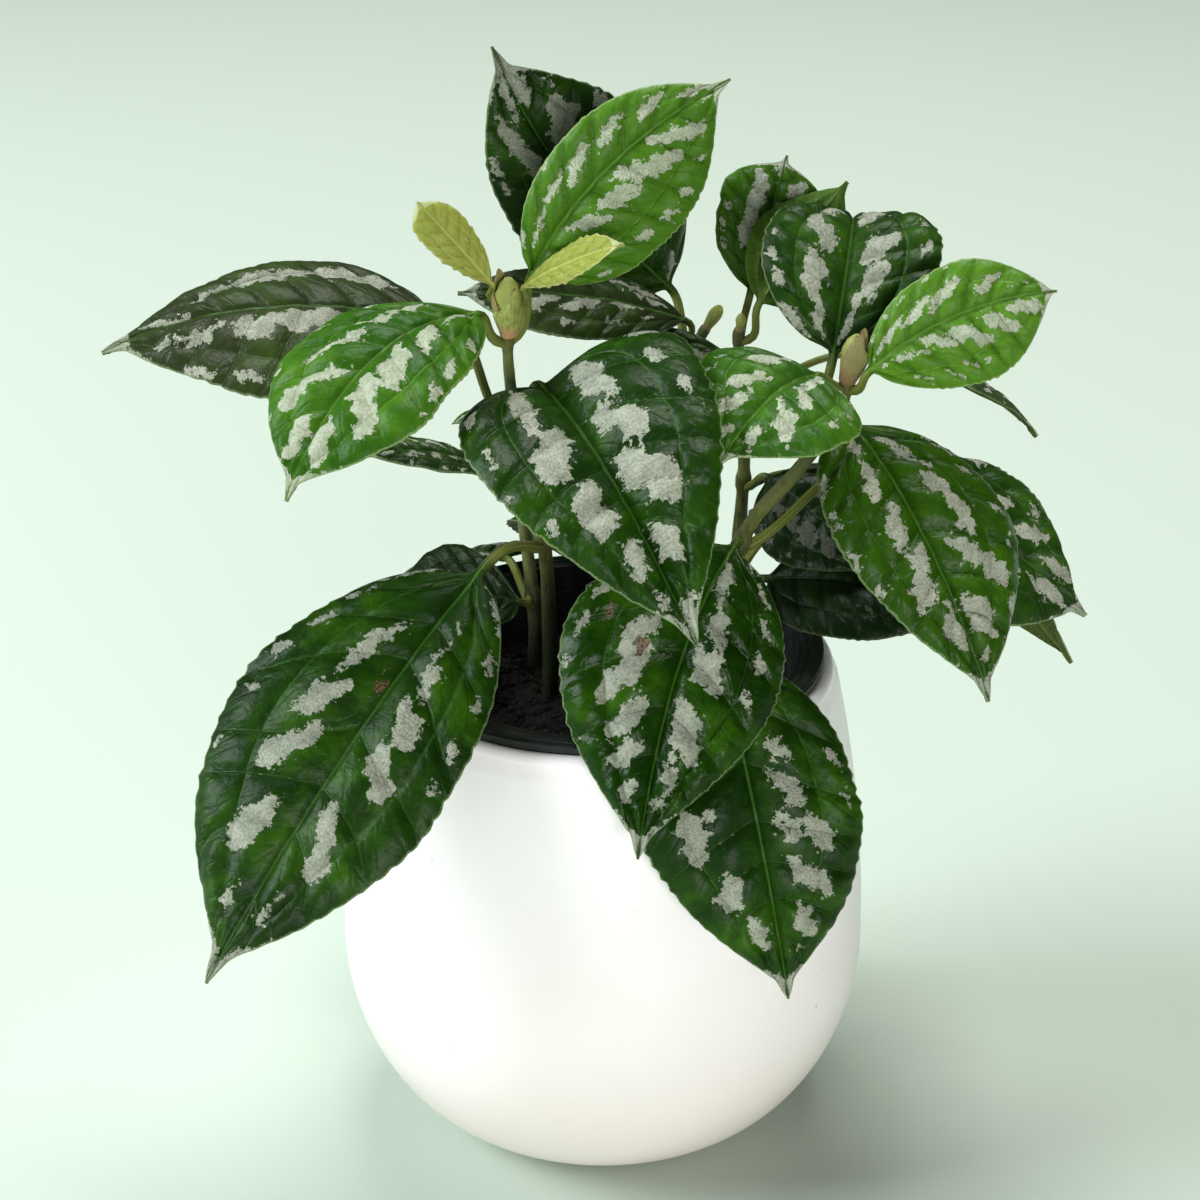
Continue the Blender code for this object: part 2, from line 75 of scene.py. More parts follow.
class Finish:
    # One material: node() adds any node, and the other methods name what is used often
    def __init__(self, name, constants):
        self.material = bpy.data.materials.new(name)
        self.material.use_nodes = True
        self.tree = self.material.node_tree
        self.shader = self.tree.nodes["Principled BSDF"]
        for socket, value in constants.items():
            self.shader.inputs[socket].default_value = value

    def node(self, kind, settings, inputs, out=0):
        made = self.tree.nodes.new(kind)
        for key, value in settings.items():
            if key == "stops":
                ramp = made.color_ramp
                while len(ramp.elements) < len(value):
                    ramp.elements.new(0.5)
                for element, (place, colour) in zip(ramp.elements, value):
                    element.position = place
                    element.color = (*colour, 1)
            else:
                setattr(made, key, value)
        for key, value in inputs.items():
            self.put(made.inputs[key], value)
        return Wire(self, made.outputs[out])

    def put(self, socket, value):
        if isinstance(value, Wire):
            self.tree.links.new(value.socket, socket)
        elif isinstance(value, tuple) and len(value) == 3 and len(socket.default_value) == 4:
            socket.default_value = (*value, 1)
        else:
            socket.default_value = value

    def feed(self, socket, value):
        self.put(self.shader.inputs[socket], value)

    def attribute(self, name):
        return self.node("ShaderNodeAttribute", {"attribute_name": name}, {}, "Vector")

    def spot(self):
        # Object coordinates in millimetres
        place = self.node("ShaderNodeTexCoord", {}, {}, "Object")
        return self.node("ShaderNodeVectorMath", {"operation": "SCALE"}, {0: place, "Scale": 1000.0})

    def split(self, vector):
        made = self.node("ShaderNodeSeparateXYZ", {}, {0: vector})
        return [Wire(self, output) for output in made.socket.node.outputs]

    def stretched(self, place, share):
        # The same place with its heights drawn out, for streaks that run upward
        return self.node("ShaderNodeMapping", {}, {0: place, "Scale": (1.0, 1.0, share)})

    def noise(self, place, scale, detail=1.0, roughness=0.5):
        inputs = {"Vector": place, "Scale": scale, "Detail": detail, "Roughness": roughness}
        return self.node("ShaderNodeTexNoise", {}, inputs)

    def cells(self, place, scale, feature="DISTANCE_TO_EDGE"):
        # Distance from the edges of a net, or with F1 from scattered spots
        inputs = {"Vector": place, "Scale": scale}
        return self.node("ShaderNodeTexVoronoi", {"feature": feature}, inputs, "Distance")

    def ease(self, value, low, high):
        # 0 at low and 1 at high, smoothly; low may be the greater
        settings = {"interpolation_type": "SMOOTHSTEP"}
        return self.node("ShaderNodeMapRange", settings, {0: value, 1: low, 2: high})

    def blend(self, share, a, b):
        return self.node("ShaderNodeMix", {"data_type": "RGBA"}, {0: share, 6: a, 7: b}, 2)

    def relief(self, height, strength=1.0):
        # Bump from a height in millimetres
        inputs = {"Height": height, "Distance": mm, "Strength": strength}
        self.feed("Normal", self.node("ShaderNodeBump", {}, inputs))


# The greens of the leaves. crease is how dark the painted shade in the folds is, and net how strongly the
# fine relief shows
veinLean = (0.64, 0.77)  # how far a side vein runs outward and forward
scarTones = [(0.030, 0.014, 0.006), (0.190, 0.120, 0.070)]
stalkTones = [(0.095, 0.120, 0.020), (0.175, 0.200, 0.045)]
# The tones a leaf is greyed to (partly a painted greyish sheen) and darkened to (painted shade)
greySheenTones = [(0.060, 0.072, 0.045), (0.33, 0.33, 0.27)]  # the green and the silver of a greyed leaf
shadedTone = (0.003, 0.010, 0.002)
warmTone = (0.034, 0.036, 0.014)
darkLook = dict(
    deep=(0.005, 0.025, 0.001), middle=(0.021, 0.075, 0.002), light=(0.050, 0.145, 0.004),
    silver=(0.38, 0.40, 0.32), silverDim=(0.20, 0.225, 0.165), rib=(0.050, 0.145, 0.018), ribWidth=0.24,
    margin=(0.20, 0.28, 0.13), under=(0.070, 0.105, 0.020), underVein=(0.13, 0.17, 0.05),
    crease=0.75, net=0.80,
)
brightLook = dict(
    deep=(0.018, 0.080, 0.002), middle=(0.048, 0.150, 0.006), light=(0.100, 0.240, 0.016),
    silver=(0.43, 0.47, 0.36), silverDim=(0.25, 0.30, 0.19), rib=(0.125, 0.255, 0.032), ribWidth=0.28,
    margin=(0.26, 0.36, 0.14), under=(0.110, 0.170, 0.025), underVein=(0.20, 0.28, 0.07),
    crease=0.60, net=0.75,
)
youngLook = dict(
    deep=(0.235, 0.275, 0.040), middle=(0.310, 0.345, 0.065), light=(0.400, 0.425, 0.120),
    silver=(0.52, 0.56, 0.30), silverDim=(0.42, 0.47, 0.20), rib=(0.400, 0.430, 0.120), ribWidth=0.3,
    margin=(0.45, 0.45, 0.20), under=(0.260, 0.300, 0.070), underVein=(0.42, 0.45, 0.16),
    crease=0.25, net=0.8,
)


def leafFinish(name, look):
    # place: across and along in mm, and the leaf's own offset
    # field: distance into a silver patch, distance from the side vein, and count of cross veins
    # rim: distance from the margin, share of the length, and distance into a scar
    # side: under side, stalk, and greyness: above 0 it greys the leaf, partly a painted greyish sheen, and
    # below 0 it is painted shade on a leaf that lies in shade
    # tone: freshness, which on leaves in shade is also painted light, warmth and gloss
    f = Finish(name, {"Specular IOR Level": 0.18, "IOR": 1.42})
    place = f.attribute("place")
    across, along, own = f.split(place)
    silverDepth, lateral, phase = f.split(f.attribute("field"))
    edge, share, scarDepth = f.split(f.attribute("rim"))
    under, stalk, grey = f.split(f.attribute("side"))
    fresh, warm, gloss = f.split(f.attribute("tone"))

    broad = f.noise(place, 0.045, 3.0, 0.6)
    coarse = f.noise(place, 0.30, 2.0)
    middle = f.noise(place, 0.95, 2.0, 0.6)
    fine = f.noise(place, 2.6, 2.0, 0.7)
    # Streaks that run outward and forward from the midrib
    outwardShare, forwardShare = veinLean
    ahead = (abs(across) * outwardShare + along * forwardShare) * 0.34
    aside = along * outwardShare - abs(across) * forwardShare
    outward = f.node("ShaderNodeCombineXYZ", {}, {0: ahead, 1: aside, 2: own})
    streak = f.noise(outward, 0.75, 2.0, 0.6)
    fold = f.noise(outward, 0.30, 1.0)
    wrinkle = f.ease(abs(fold - 0.5), 0.10, 0.0)

    # Veins
    wobble = (coarse - 0.5) * 1.2
    ribWidth = look["ribWidth"] * (1 - 0.7 * share)
    rib = f.ease(abs(across) - ribWidth, 0.18, -0.08)
    ribShade = f.ease(abs(across) - ribWidth, 1.3, 0.1)
    sideVein = f.ease(abs(lateral + wobble * 0.35), 0.42, 0.06) * f.ease(share, 0.90, 0.60)
    cell = (phase + wobble * 0.06).sum("FRACT")
    nearest = cell.sum("MINIMUM", 1 - cell)
    crossVein = f.ease(nearest, 0.045, 0.006) * f.ease(edge, 1.0, 5.0) * f.ease(abs(across), 0.2, 1.4)
    crease = f.ease(nearest, 0.22, 0.02)
    netDistance = f.cells(place, 0.42)
    net = f.ease(netDistance, 0.10, 0.02)
    fineNet = f.ease(f.cells(place, 1.15), 0.12, 0.03)

    # Silver patches with torn, grainy edges
    lobe = f.noise(place, 0.55, 1.0)
    torn = (coarse - 0.5) * 1.6 + (lobe - 0.5) * 2.6 + (streak - 0.5) * 2.2 + (middle - 0.5) * 2.8
    inside = silverDepth + torn + (fine - 0.5) * 2.4
    dots = f.cells(place, 0.42, "F1")
    sprinkle = f.ease(dots + (fine - 0.5) * 0.4, 0.15, 0.10) * f.ease(silverDepth, -2.2, -0.9)
    silver = f.ease(inside, -0.06, 0.10).sum("MAXIMUM", sprinkle * 0.8)
    pits = f.ease(fine, 0.60, 0.68) * f.ease(inside, 2.0, 0.3)
    silver = silver * (1 - pits * 0.6)
    grain = f.noise(place, 1.9, 2.0, 0.6)
    silverTone = f.ease(grain * 0.7 + coarse * 0.5, 0.42, 0.80)

    # The green below them
    green = f.blend(f.ease(broad + coarse * 0.35, 0.48, 0.92), look["deep"], look["middle"])
    green = f.blend(f.ease(coarse * 0.3 + broad * 1.1, 0.66, 0.96) * 0.4, green, look["light"])
    # Painted light in part: the lighter green of fresh leaves, raised further on upper leaves that lie in
    # shade
    green = f.blend(fresh, green, look["light"])
    # Painted shade in the creases along the cross veins and in the wrinkles' troughs, and darker along the
    # fine net
    green = f.blend(crease * 0.45 * look["crease"], green, look["deep"])
    green = f.blend(net * 0.15 + fineNet * 0.06 + wrinkle * 0.25, green, look["deep"])
    green = f.blend((sideVein * 0.32).sum("MAXIMUM", crossVein * 0.20), green, look["rib"])
    green = f.blend(ribShade * 0.30, green, look["deep"])
    green = f.blend(warm, green, warmTone)
    colour = f.blend(silver, green, f.blend(silverTone, look["silverDim"], look["silver"]))
    colour = f.blend(rib * 0.85, colour, look["rib"])
    colour = f.blend(f.ease(edge + (fine - 0.5) * 1.0, 0.42, 0.10) * 0.65, colour, look["margin"])
    # Painted sheen and shade: above 0 a greyish sheen on upper and back leaves plus the grey-brown of older
    # ones, below 0 shade on leaves deep among the others
    colour = f.blend(grey.sum("MAXIMUM", 0.0), colour, f.blend(silver, *greySheenTones))
    colour = f.blend((0 - grey).sum("MAXIMUM", 0.0), colour, shadedTone)
    scar = f.ease(scarDepth + torn * 0.8, -0.1, 0.3)
    scarTone = f.blend(f.ease(fine, 0.42, 0.58), *scarTones)
    colour = f.blend(scar * 0.9, colour, scarTone)

    # The under side: plain olive with paler veins
    veins = sideVein * 0.6 + crossVein * 0.35 + net * 0.25 + rib
    below = f.blend(f.ease(broad, 0.3, 0.7) * 0.6, look["under"], look["deep"])
    # The same freshness, partly painted light, on the under side
    below = f.blend(fresh * 0.8, below, look["light"])
    below = f.blend(veins.sum("MINIMUM", 1.0), below, look["underVein"])
    colour = f.blend(f.ease(under, 0.3, 0.7), colour, below)
    stalkTone = f.blend(f.ease(broad + middle * 0.4, 0.5, 0.9), *stalkTones)
    colour = f.blend(f.ease(stalk, 0.2, 0.9), colour, stalkTone)
    f.feed("Base Color", colour)
    f.feed("Roughness", 0.34 - 0.12 * gloss + 0.10 * middle + 0.06 * silver + 0.12 * f.ease(under, 0.3, 0.7))
    height = silver * 0.10 + netDistance * 0.20 - sideVein * 0.12 - crossVein * 0.24 - crease * 0.20
    height = height - ribShade * 0.12 + rib * 0.16 + (middle - 0.5) * 0.16 + (fine - 0.5) * 0.08
    height = height - wrinkle * 0.10 + (streak - 0.5) * 0.05 + silver * (grain - 0.5) * 0.40
    f.relief(height * look["net"], 0.9)
    return f.material


def stemFinish():
    # bark: share of the height in the stem, closeness to a node, and the bud
    f = Finish("stemGreen", {"Specular IOR Level": 0.45})
    spot = f.spot()
    height, node, bud = f.split(f.attribute("bark"))
    streaks = f.noise(f.stretched(spot, 0.16), 1.6, 3.0, 0.6)
    blotch = f.noise(spot, 0.16, 2.0)
    speck = f.noise(spot, 2.4, 1.0)
    colour = f.blend(f.ease(streaks + blotch, 0.75, 1.2), (0.045, 0.056, 0.008), (0.115, 0.135, 0.024))
    colour = f.blend(f.ease(blotch + streaks * 0.4, 0.74, 0.95) * 0.35, colour, (0.085, 0.048, 0.020))
    colour = f.blend(f.ease(node + (streaks - 0.5) * 0.8, 0.5, 1.0) * 0.5, colour, (0.075, 0.050, 0.016))
    colour = f.blend(f.ease(speck, 0.64, 0.72) * 0.5, colour, (0.17, 0.18, 0.08))
    # Painted shade: the lower part of each stem made nearly black, where it runs down into the shade among
    # the leaves and in the pot
    colour = f.blend(f.ease(height, 0.55, 0.28) * 0.90, colour, (0.006, 0.009, 0.002))
    budFoot = f.ease(bud + (blotch - 0.5) * 0.6, 0.45, 0.05)
    budTone = f.blend(budFoot, (0.26, 0.30, 0.06), (0.26, 0.19, 0.08))
    colour = f.blend(f.ease(bud, 0.0, 0.06), colour, budTone)
    f.feed("Base Color", colour)
    f.feed("Roughness", 0.40 + 0.25 * streaks)
    f.relief(streaks * 0.25 + speck * 0.10)
    return f.material


def soilFinish():
    f = Finish("darkSoil", {"Specular IOR Level": 0.25})
    spot = f.spot()
    clod = f.noise(spot, 0.30, 4.0, 0.7)
    grit = f.noise(spot, 1.9, 3.0, 0.7)
    # Painted shade: the soil made nearly black, darker than its own brown, for the shade inside the pot
    colour = f.blend(f.ease(clod, 0.35, 0.68), (0.002, 0.002, 0.0015), (0.007, 0.005, 0.0035))
    colour = f.blend(f.ease(grit, 0.64, 0.76), colour, (0.045, 0.030, 0.018))
    f.feed("Base Color", colour)
    f.feed("Roughness", 0.80 + 0.18 * grit)
    f.relief(clod * 0.9 + grit * 0.6)
    return f.material


def crumbFinish():
    f = Finish("soilCrumbs", {"Specular IOR Level": 0.25})
    spot = f.spot()
    kind = f.noise(spot, 0.75, 1.0)
    grit = f.noise(spot, 3.0, 3.0, 0.7)
    # Painted shade: most crumbs nearly black for the shade inside the pot, a few lighter
    stops = [
        (0.36, (0.002, 0.002, 0.001)), (0.54, (0.005, 0.004, 0.003)), (0.64, (0.015, 0.010, 0.006)),
        (0.74, (0.060, 0.042, 0.026)),
    ]
    tone = f.node("ShaderNodeValToRGB", {"stops": stops}, {0: kind})
    f.feed("Base Color", f.blend(f.ease(grit, 0.55, 0.75) * 0.6, tone, (0.010, 0.008, 0.006)))
    f.feed("Roughness", 0.78 + 0.20 * grit)
    f.relief(grit * 0.5)
    return f.material


def plasticFinish():
    # Satin moulded plastic with fine turning marks round its lip and dust
    f = Finish("darkPlastic", {"Specular IOR Level": 0.35})
    spot = f.spot()
    x, y, z = f.split(spot)
    radius = (x * x + y * y).sum("SQRT")
    rings = (radius * 5.5 + z * 3.0).sum("SINE")
    grain = f.noise(spot, 3.5, 2.0)
    dust = f.noise(spot, 0.22, 3.0, 0.65)
    colour = f.blend(f.ease(dust, 0.45, 0.75) * 0.5, (0.004, 0.007, 0.005), (0.018, 0.022, 0.018))
    f.feed("Base Color", f.blend(f.ease(grain, 0.66, 0.74) * 0.5, colour, (0.085, 0.080, 0.066)))
    f.feed("Roughness", 0.30 + 0.22 * dust + 0.10 * grain)
    f.relief(rings * 0.02 + grain * 0.06)
    return f.material


def ceramicFinish():
    # Satin white glaze with a faint ripple, a few pinholes, a bare foot and a painted warm reflection and
    # shade near the bottom
    f = Finish("whiteCeramic", {"Specular IOR Level": 0.5, "Coat Roughness": 0.18})
    spot = f.spot()
    height = f.split(spot)[2]
    ripple = f.noise(spot, 0.06, 2.0)
    peel = f.noise(spot, 0.55, 1.0)
    cloud = f.noise(spot, 0.018, 2.0)
    hole = f.ease(f.cells(spot, 0.085, "F1"), 0.055, 0.030)
    colour = f.blend(f.ease(cloud, 0.35, 0.68), (0.90, 0.875, 0.885), (0.94, 0.92, 0.935))
    colour = f.blend(hole * f.ease(peel, 0.50, 0.62) * 0.7, colour, (0.42, 0.38, 0.34))
    # Painted warm bounce light and shade: the glaze warmer and darker towards the bottom, along a cloudy
    # line
    colour = f.blend(f.ease(height + (cloud - 0.5) * 20, 90.0, 5.0) * 0.8, colour, (0.83, 0.73, 0.68))
    foot = f.ease(height + (peel - 0.5) * 0.8, 1.3, 0.7)
    f.feed("Base Color", f.blend(foot, colour, (0.62, 0.55, 0.46)))
    f.feed("Roughness", 0.30 + 0.10 * cloud + 0.35 * foot + 0.06 * peel)
    f.feed("Coat Weight", 0.35 - 0.35 * foot)
    f.relief(ripple * 0.30 + peel * 0.035 - hole * 0.10)
    return f.material


finishes = {
    "leaf_dark": leafFinish("leafDark", darkLook),
    "leaf_bright": leafFinish("leafBright", brightLook),
    "leaf_young": leafFinish("leafYoung", youngLook),
    "stem_green": stemFinish(),
    "soil": soilFinish(),
    "soilCrumbs": crumbFinish(),
    "dark_plastic": plasticFinish(),
    "white_ceramic": ceramicFinish(),
}
print("finishes made:", len(finishes))


# Meshes

def newObject(name, data):
    made = bpy.data.objects.new(name, data)
    bpy.context.scene.collection.objects.link(made)
    return made


def makePiece(name, points, faces, slot, replaced, attributes=None, sharp=None, finish=None):
    # A piece of the plant from points in millimetres
    mesh = bpy.data.meshes.new(name)
    mesh.from_pydata((np.asarray(points, float) * mm).tolist(), [], faces)
    mesh.validate()
    for key, values in (attributes or {}).items():
        layer = mesh.attributes.new(key, "FLOAT_VECTOR", "POINT")
        layer.data.foreach_set("vector", np.asarray(values, np.float32).ravel())
    mesh.materials.append(finish or finishes[slot])
    mesh.shade_smooth()
    if sharp:
        mesh.set_sharp_from_angle(angle=math.radians(sharp))
    piece = newObject(name, mesh)
    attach(piece, "root")
    if replaced:
        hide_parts(replaced)
    return piece


def ringFaces(rings, count, closed=True):
    # Quads over rings of equal count
    here = np.arange(count if closed else count - 1)
    there = (here + 1) % count
    rows = []
    for k in range(rings - 1):
        a = k * count
        rows.append(np.stack([a + here, a + there, a + count + there, a + count + here], axis=1))
    return np.concatenate(rows)


def roundRing(radius, height, sides):
    turns = np.linspace(0, 2 * math.pi, sides, endpoint=False)
    return np.stack([radius * np.cos(turns), radius * np.sin(turns), np.full(sides, height)], axis=-1)


def waves(x, y, seed, size, count=7):
    # Smooth random undulation between about -1 and 1, its bumps as long as size
    maker = np.random.default_rng(seed)
    total = 0
    for _ in range(count):
        turn = maker.uniform(0, 2 * math.pi)
        pace = 2 * math.pi / (size * maker.uniform(0.8, 1.9))
        ahead = x * math.cos(turn) + y * math.sin(turn)
        total = total + np.sin(ahead * pace + maker.uniform(0, 6.28))
    return total / math.sqrt(count) / 1.3


# Stems: their routes, radii and buds, as the solids have them

stems = {
    "stem_left": dict(
        route=[
            (-12, 4, 83), (-12, 4, 100), (-12, 3, 114), (-13, 0, 139), (-18, -4, 165), (-20, -7, 183),
            (-20, -9, 192.5),
        ],
        foot=2.0, top=1.1, budLength=13.0, budRadius=2.9,
    ),
    "stem_right": dict(
        route=[
            (24, 1, 83), (24, 1, 100), (25, -1, 112), (30, -12, 146), (41, -17, 164), (48.5, -20, 177),
            (50.5, -22, 187),
        ],
        foot=2.2, top=1.3, budLength=10.0, budRadius=2.5,
    ),
    "stem_back_right": dict(
        route=[(29, 24, 83), (29, 24, 100), (30, 24, 114), (32, 22, 150), (30, 18, 178), (30, 17, 184)],
        foot=2.0, top=1.1, budLength=4.0, budRadius=1.2,
    ),
    "stem_back": dict(
        route=[(6, 30, 83), (6, 30, 100), (7, 30, 114), (14, 30, 155), (21, 26, 177), (23, 24, 182)],
        foot=2.1, top=1.2, budLength=8.0, budRadius=1.6,
    ),
    "stem_back_left": dict(
        route=[(-16, 24, 83), (-16, 24, 100), (-16, 25, 112), (-19, 31, 136), (-22, 34, 156)],
        foot=2.0, top=1.1, budLength=6.0, budRadius=1.3,
    ),
}
stemShape = dict(
    nodeSwell=0.28, nodeReach=3.0, ringSwell=0.10, sides=20, step=0.8, roughness=0.0004, grain=180.0,
    gap=0.3,
)
budProfile = [(0.0, 0.6), (0.3, 0.82), (0.6, 1.0), (0.85, 0.7), (1.0, 0.15)]


def alongRoute(points, share):
    # A point on the smooth curve through the route's points, share 0 to 1 along it
    place = share * (len(points) - 1)
    step = min(int(place), len(points) - 2)
    u = place - step
    a, b, c, d = [Vector(points[max(0, min(len(points) - 1, step + k))]) for k in (-1, 0, 1, 2)]
    bend = (2 * a - 5 * b + 4 * c - d) * u * u + (3 * b - a - 3 * c + d) * u ** 3
    return (2 * b + (c - a) * u + bend) / 2


def budHeading(stem):
    return (Vector(stem["route"][-1]) - alongRoute(stem["route"], 0.96)).normalized()


def stemPoint(stem, height):
    # The middle of the stem, or of its bud, at a height
    top = Vector(stem["route"][-1])
    if height > top.z:
        heading = budHeading(stem)
        return top + heading * (height - top.z) / heading.z
    low, high = 0.0, 1.0
    for _ in range(30):
        middle = (low + high) / 2
        if alongRoute(stem["route"], middle).z < height:
            low = middle
        else:
            high = middle
    return alongRoute(stem["route"], low)


def nearestNode(name, height):
    return min(abs(height - spec["node"]) for spec in leaves.values() if spec["stem"] == name)


def stemRadius(name, height):
    # The radius at a height, with the swollen nodes and the bud above
    stem = stems[name]
    low, top = stem["route"][0][2], stem["route"][-1][2]
    if height > top:
        place = (height - top) / (stem["budLength"] * budHeading(stem).z)
        shares, radii = zip(*budProfile)
        return stem["budRadius"] * float(np.interp(place, shares, radii)) if place <= 1 else 0.0
    radius = stem["foot"] + (stem["top"] - stem["foot"]) * (height - low) / (top - low)
    swell = max(0.0, 1 - nearestNode(name, height) / stemShape["nodeReach"])
    return radius * (1 + stemShape["nodeSwell"] * swell)


# Leaves: on the plant as the solids are. node is the height at which the leaf leaves its stem, base
# and tip are the blade's ends, halves its half widths, faces where its top faces, and bow and swing
# how far the midrib bends up and aside, in mm. left and right, seen from above with the tip away,
# are the strokes of silver in hundredths: along and across at the start, the same at the end, half
# width as a share of the blade's, and how strong it is, if faint. A scar has its place and radius.

leafShape = dict(
    dripWidth=0.17, tipWidth=0.32, toothDepth=0.014, toothRange=(0.25, 1.5), toothPeak=0.72, wander=0.018,
    stalkRadius=0.8, stalkGrowth=0.012, stalkTilt=35.0, stalkSlim=0.82, stalkRound=170.0, halfThick=0.26,
    rib=0.75, wrinkle=0.20, cell=0.135, cellSlant=0.075, ribGroove=0.30, veinGroove=0.14, crossGroove=0.50,
    toothSpan=(0.14, 0.93), stalkInside=1.2, stalkFlare=(1.22, 1.12, 1.04),
)
leafRows = dict(stalkFewest=4, stalkStep=2.5, perMm=1.25, limits=(34, 120))
# Columns up to a side vein and again beyond it, on the top and on the under side
columnCounts = dict(fine=(13, 6), plain=(6, 4))
bigWidth = 8  # half the width in mm above which a blade has the fine columns
patchShape = dict(cap=0.55, lobes=0.24, tipRim=2.2, outside=-6.0, shortest=0.8, faint=1.2)


def leafSpec(stem, node, base, tip, halves, faces, bow, **more):
    spec = dict(
        stem=stem, node=node, base=base, tip=tip, halves=halves, faces=faces, bow=bow, swing=(0, 0),
        fold=0.25, drop=0.35, twist=0, puff=0.8, wave=0.5, scars=(), widest=(0.42, 0.42), root=(0.7, 0.7),
        taper=(1.9, 1.9), end=0.95, teeth=19, tooth=1.0, finish="leaf_dark", grey=0.0, fresh=0.0, warm=0.0,
        gloss=0.0, left=(), right=(), patch=0.94,
    )
    spec.update(more)
    return spec


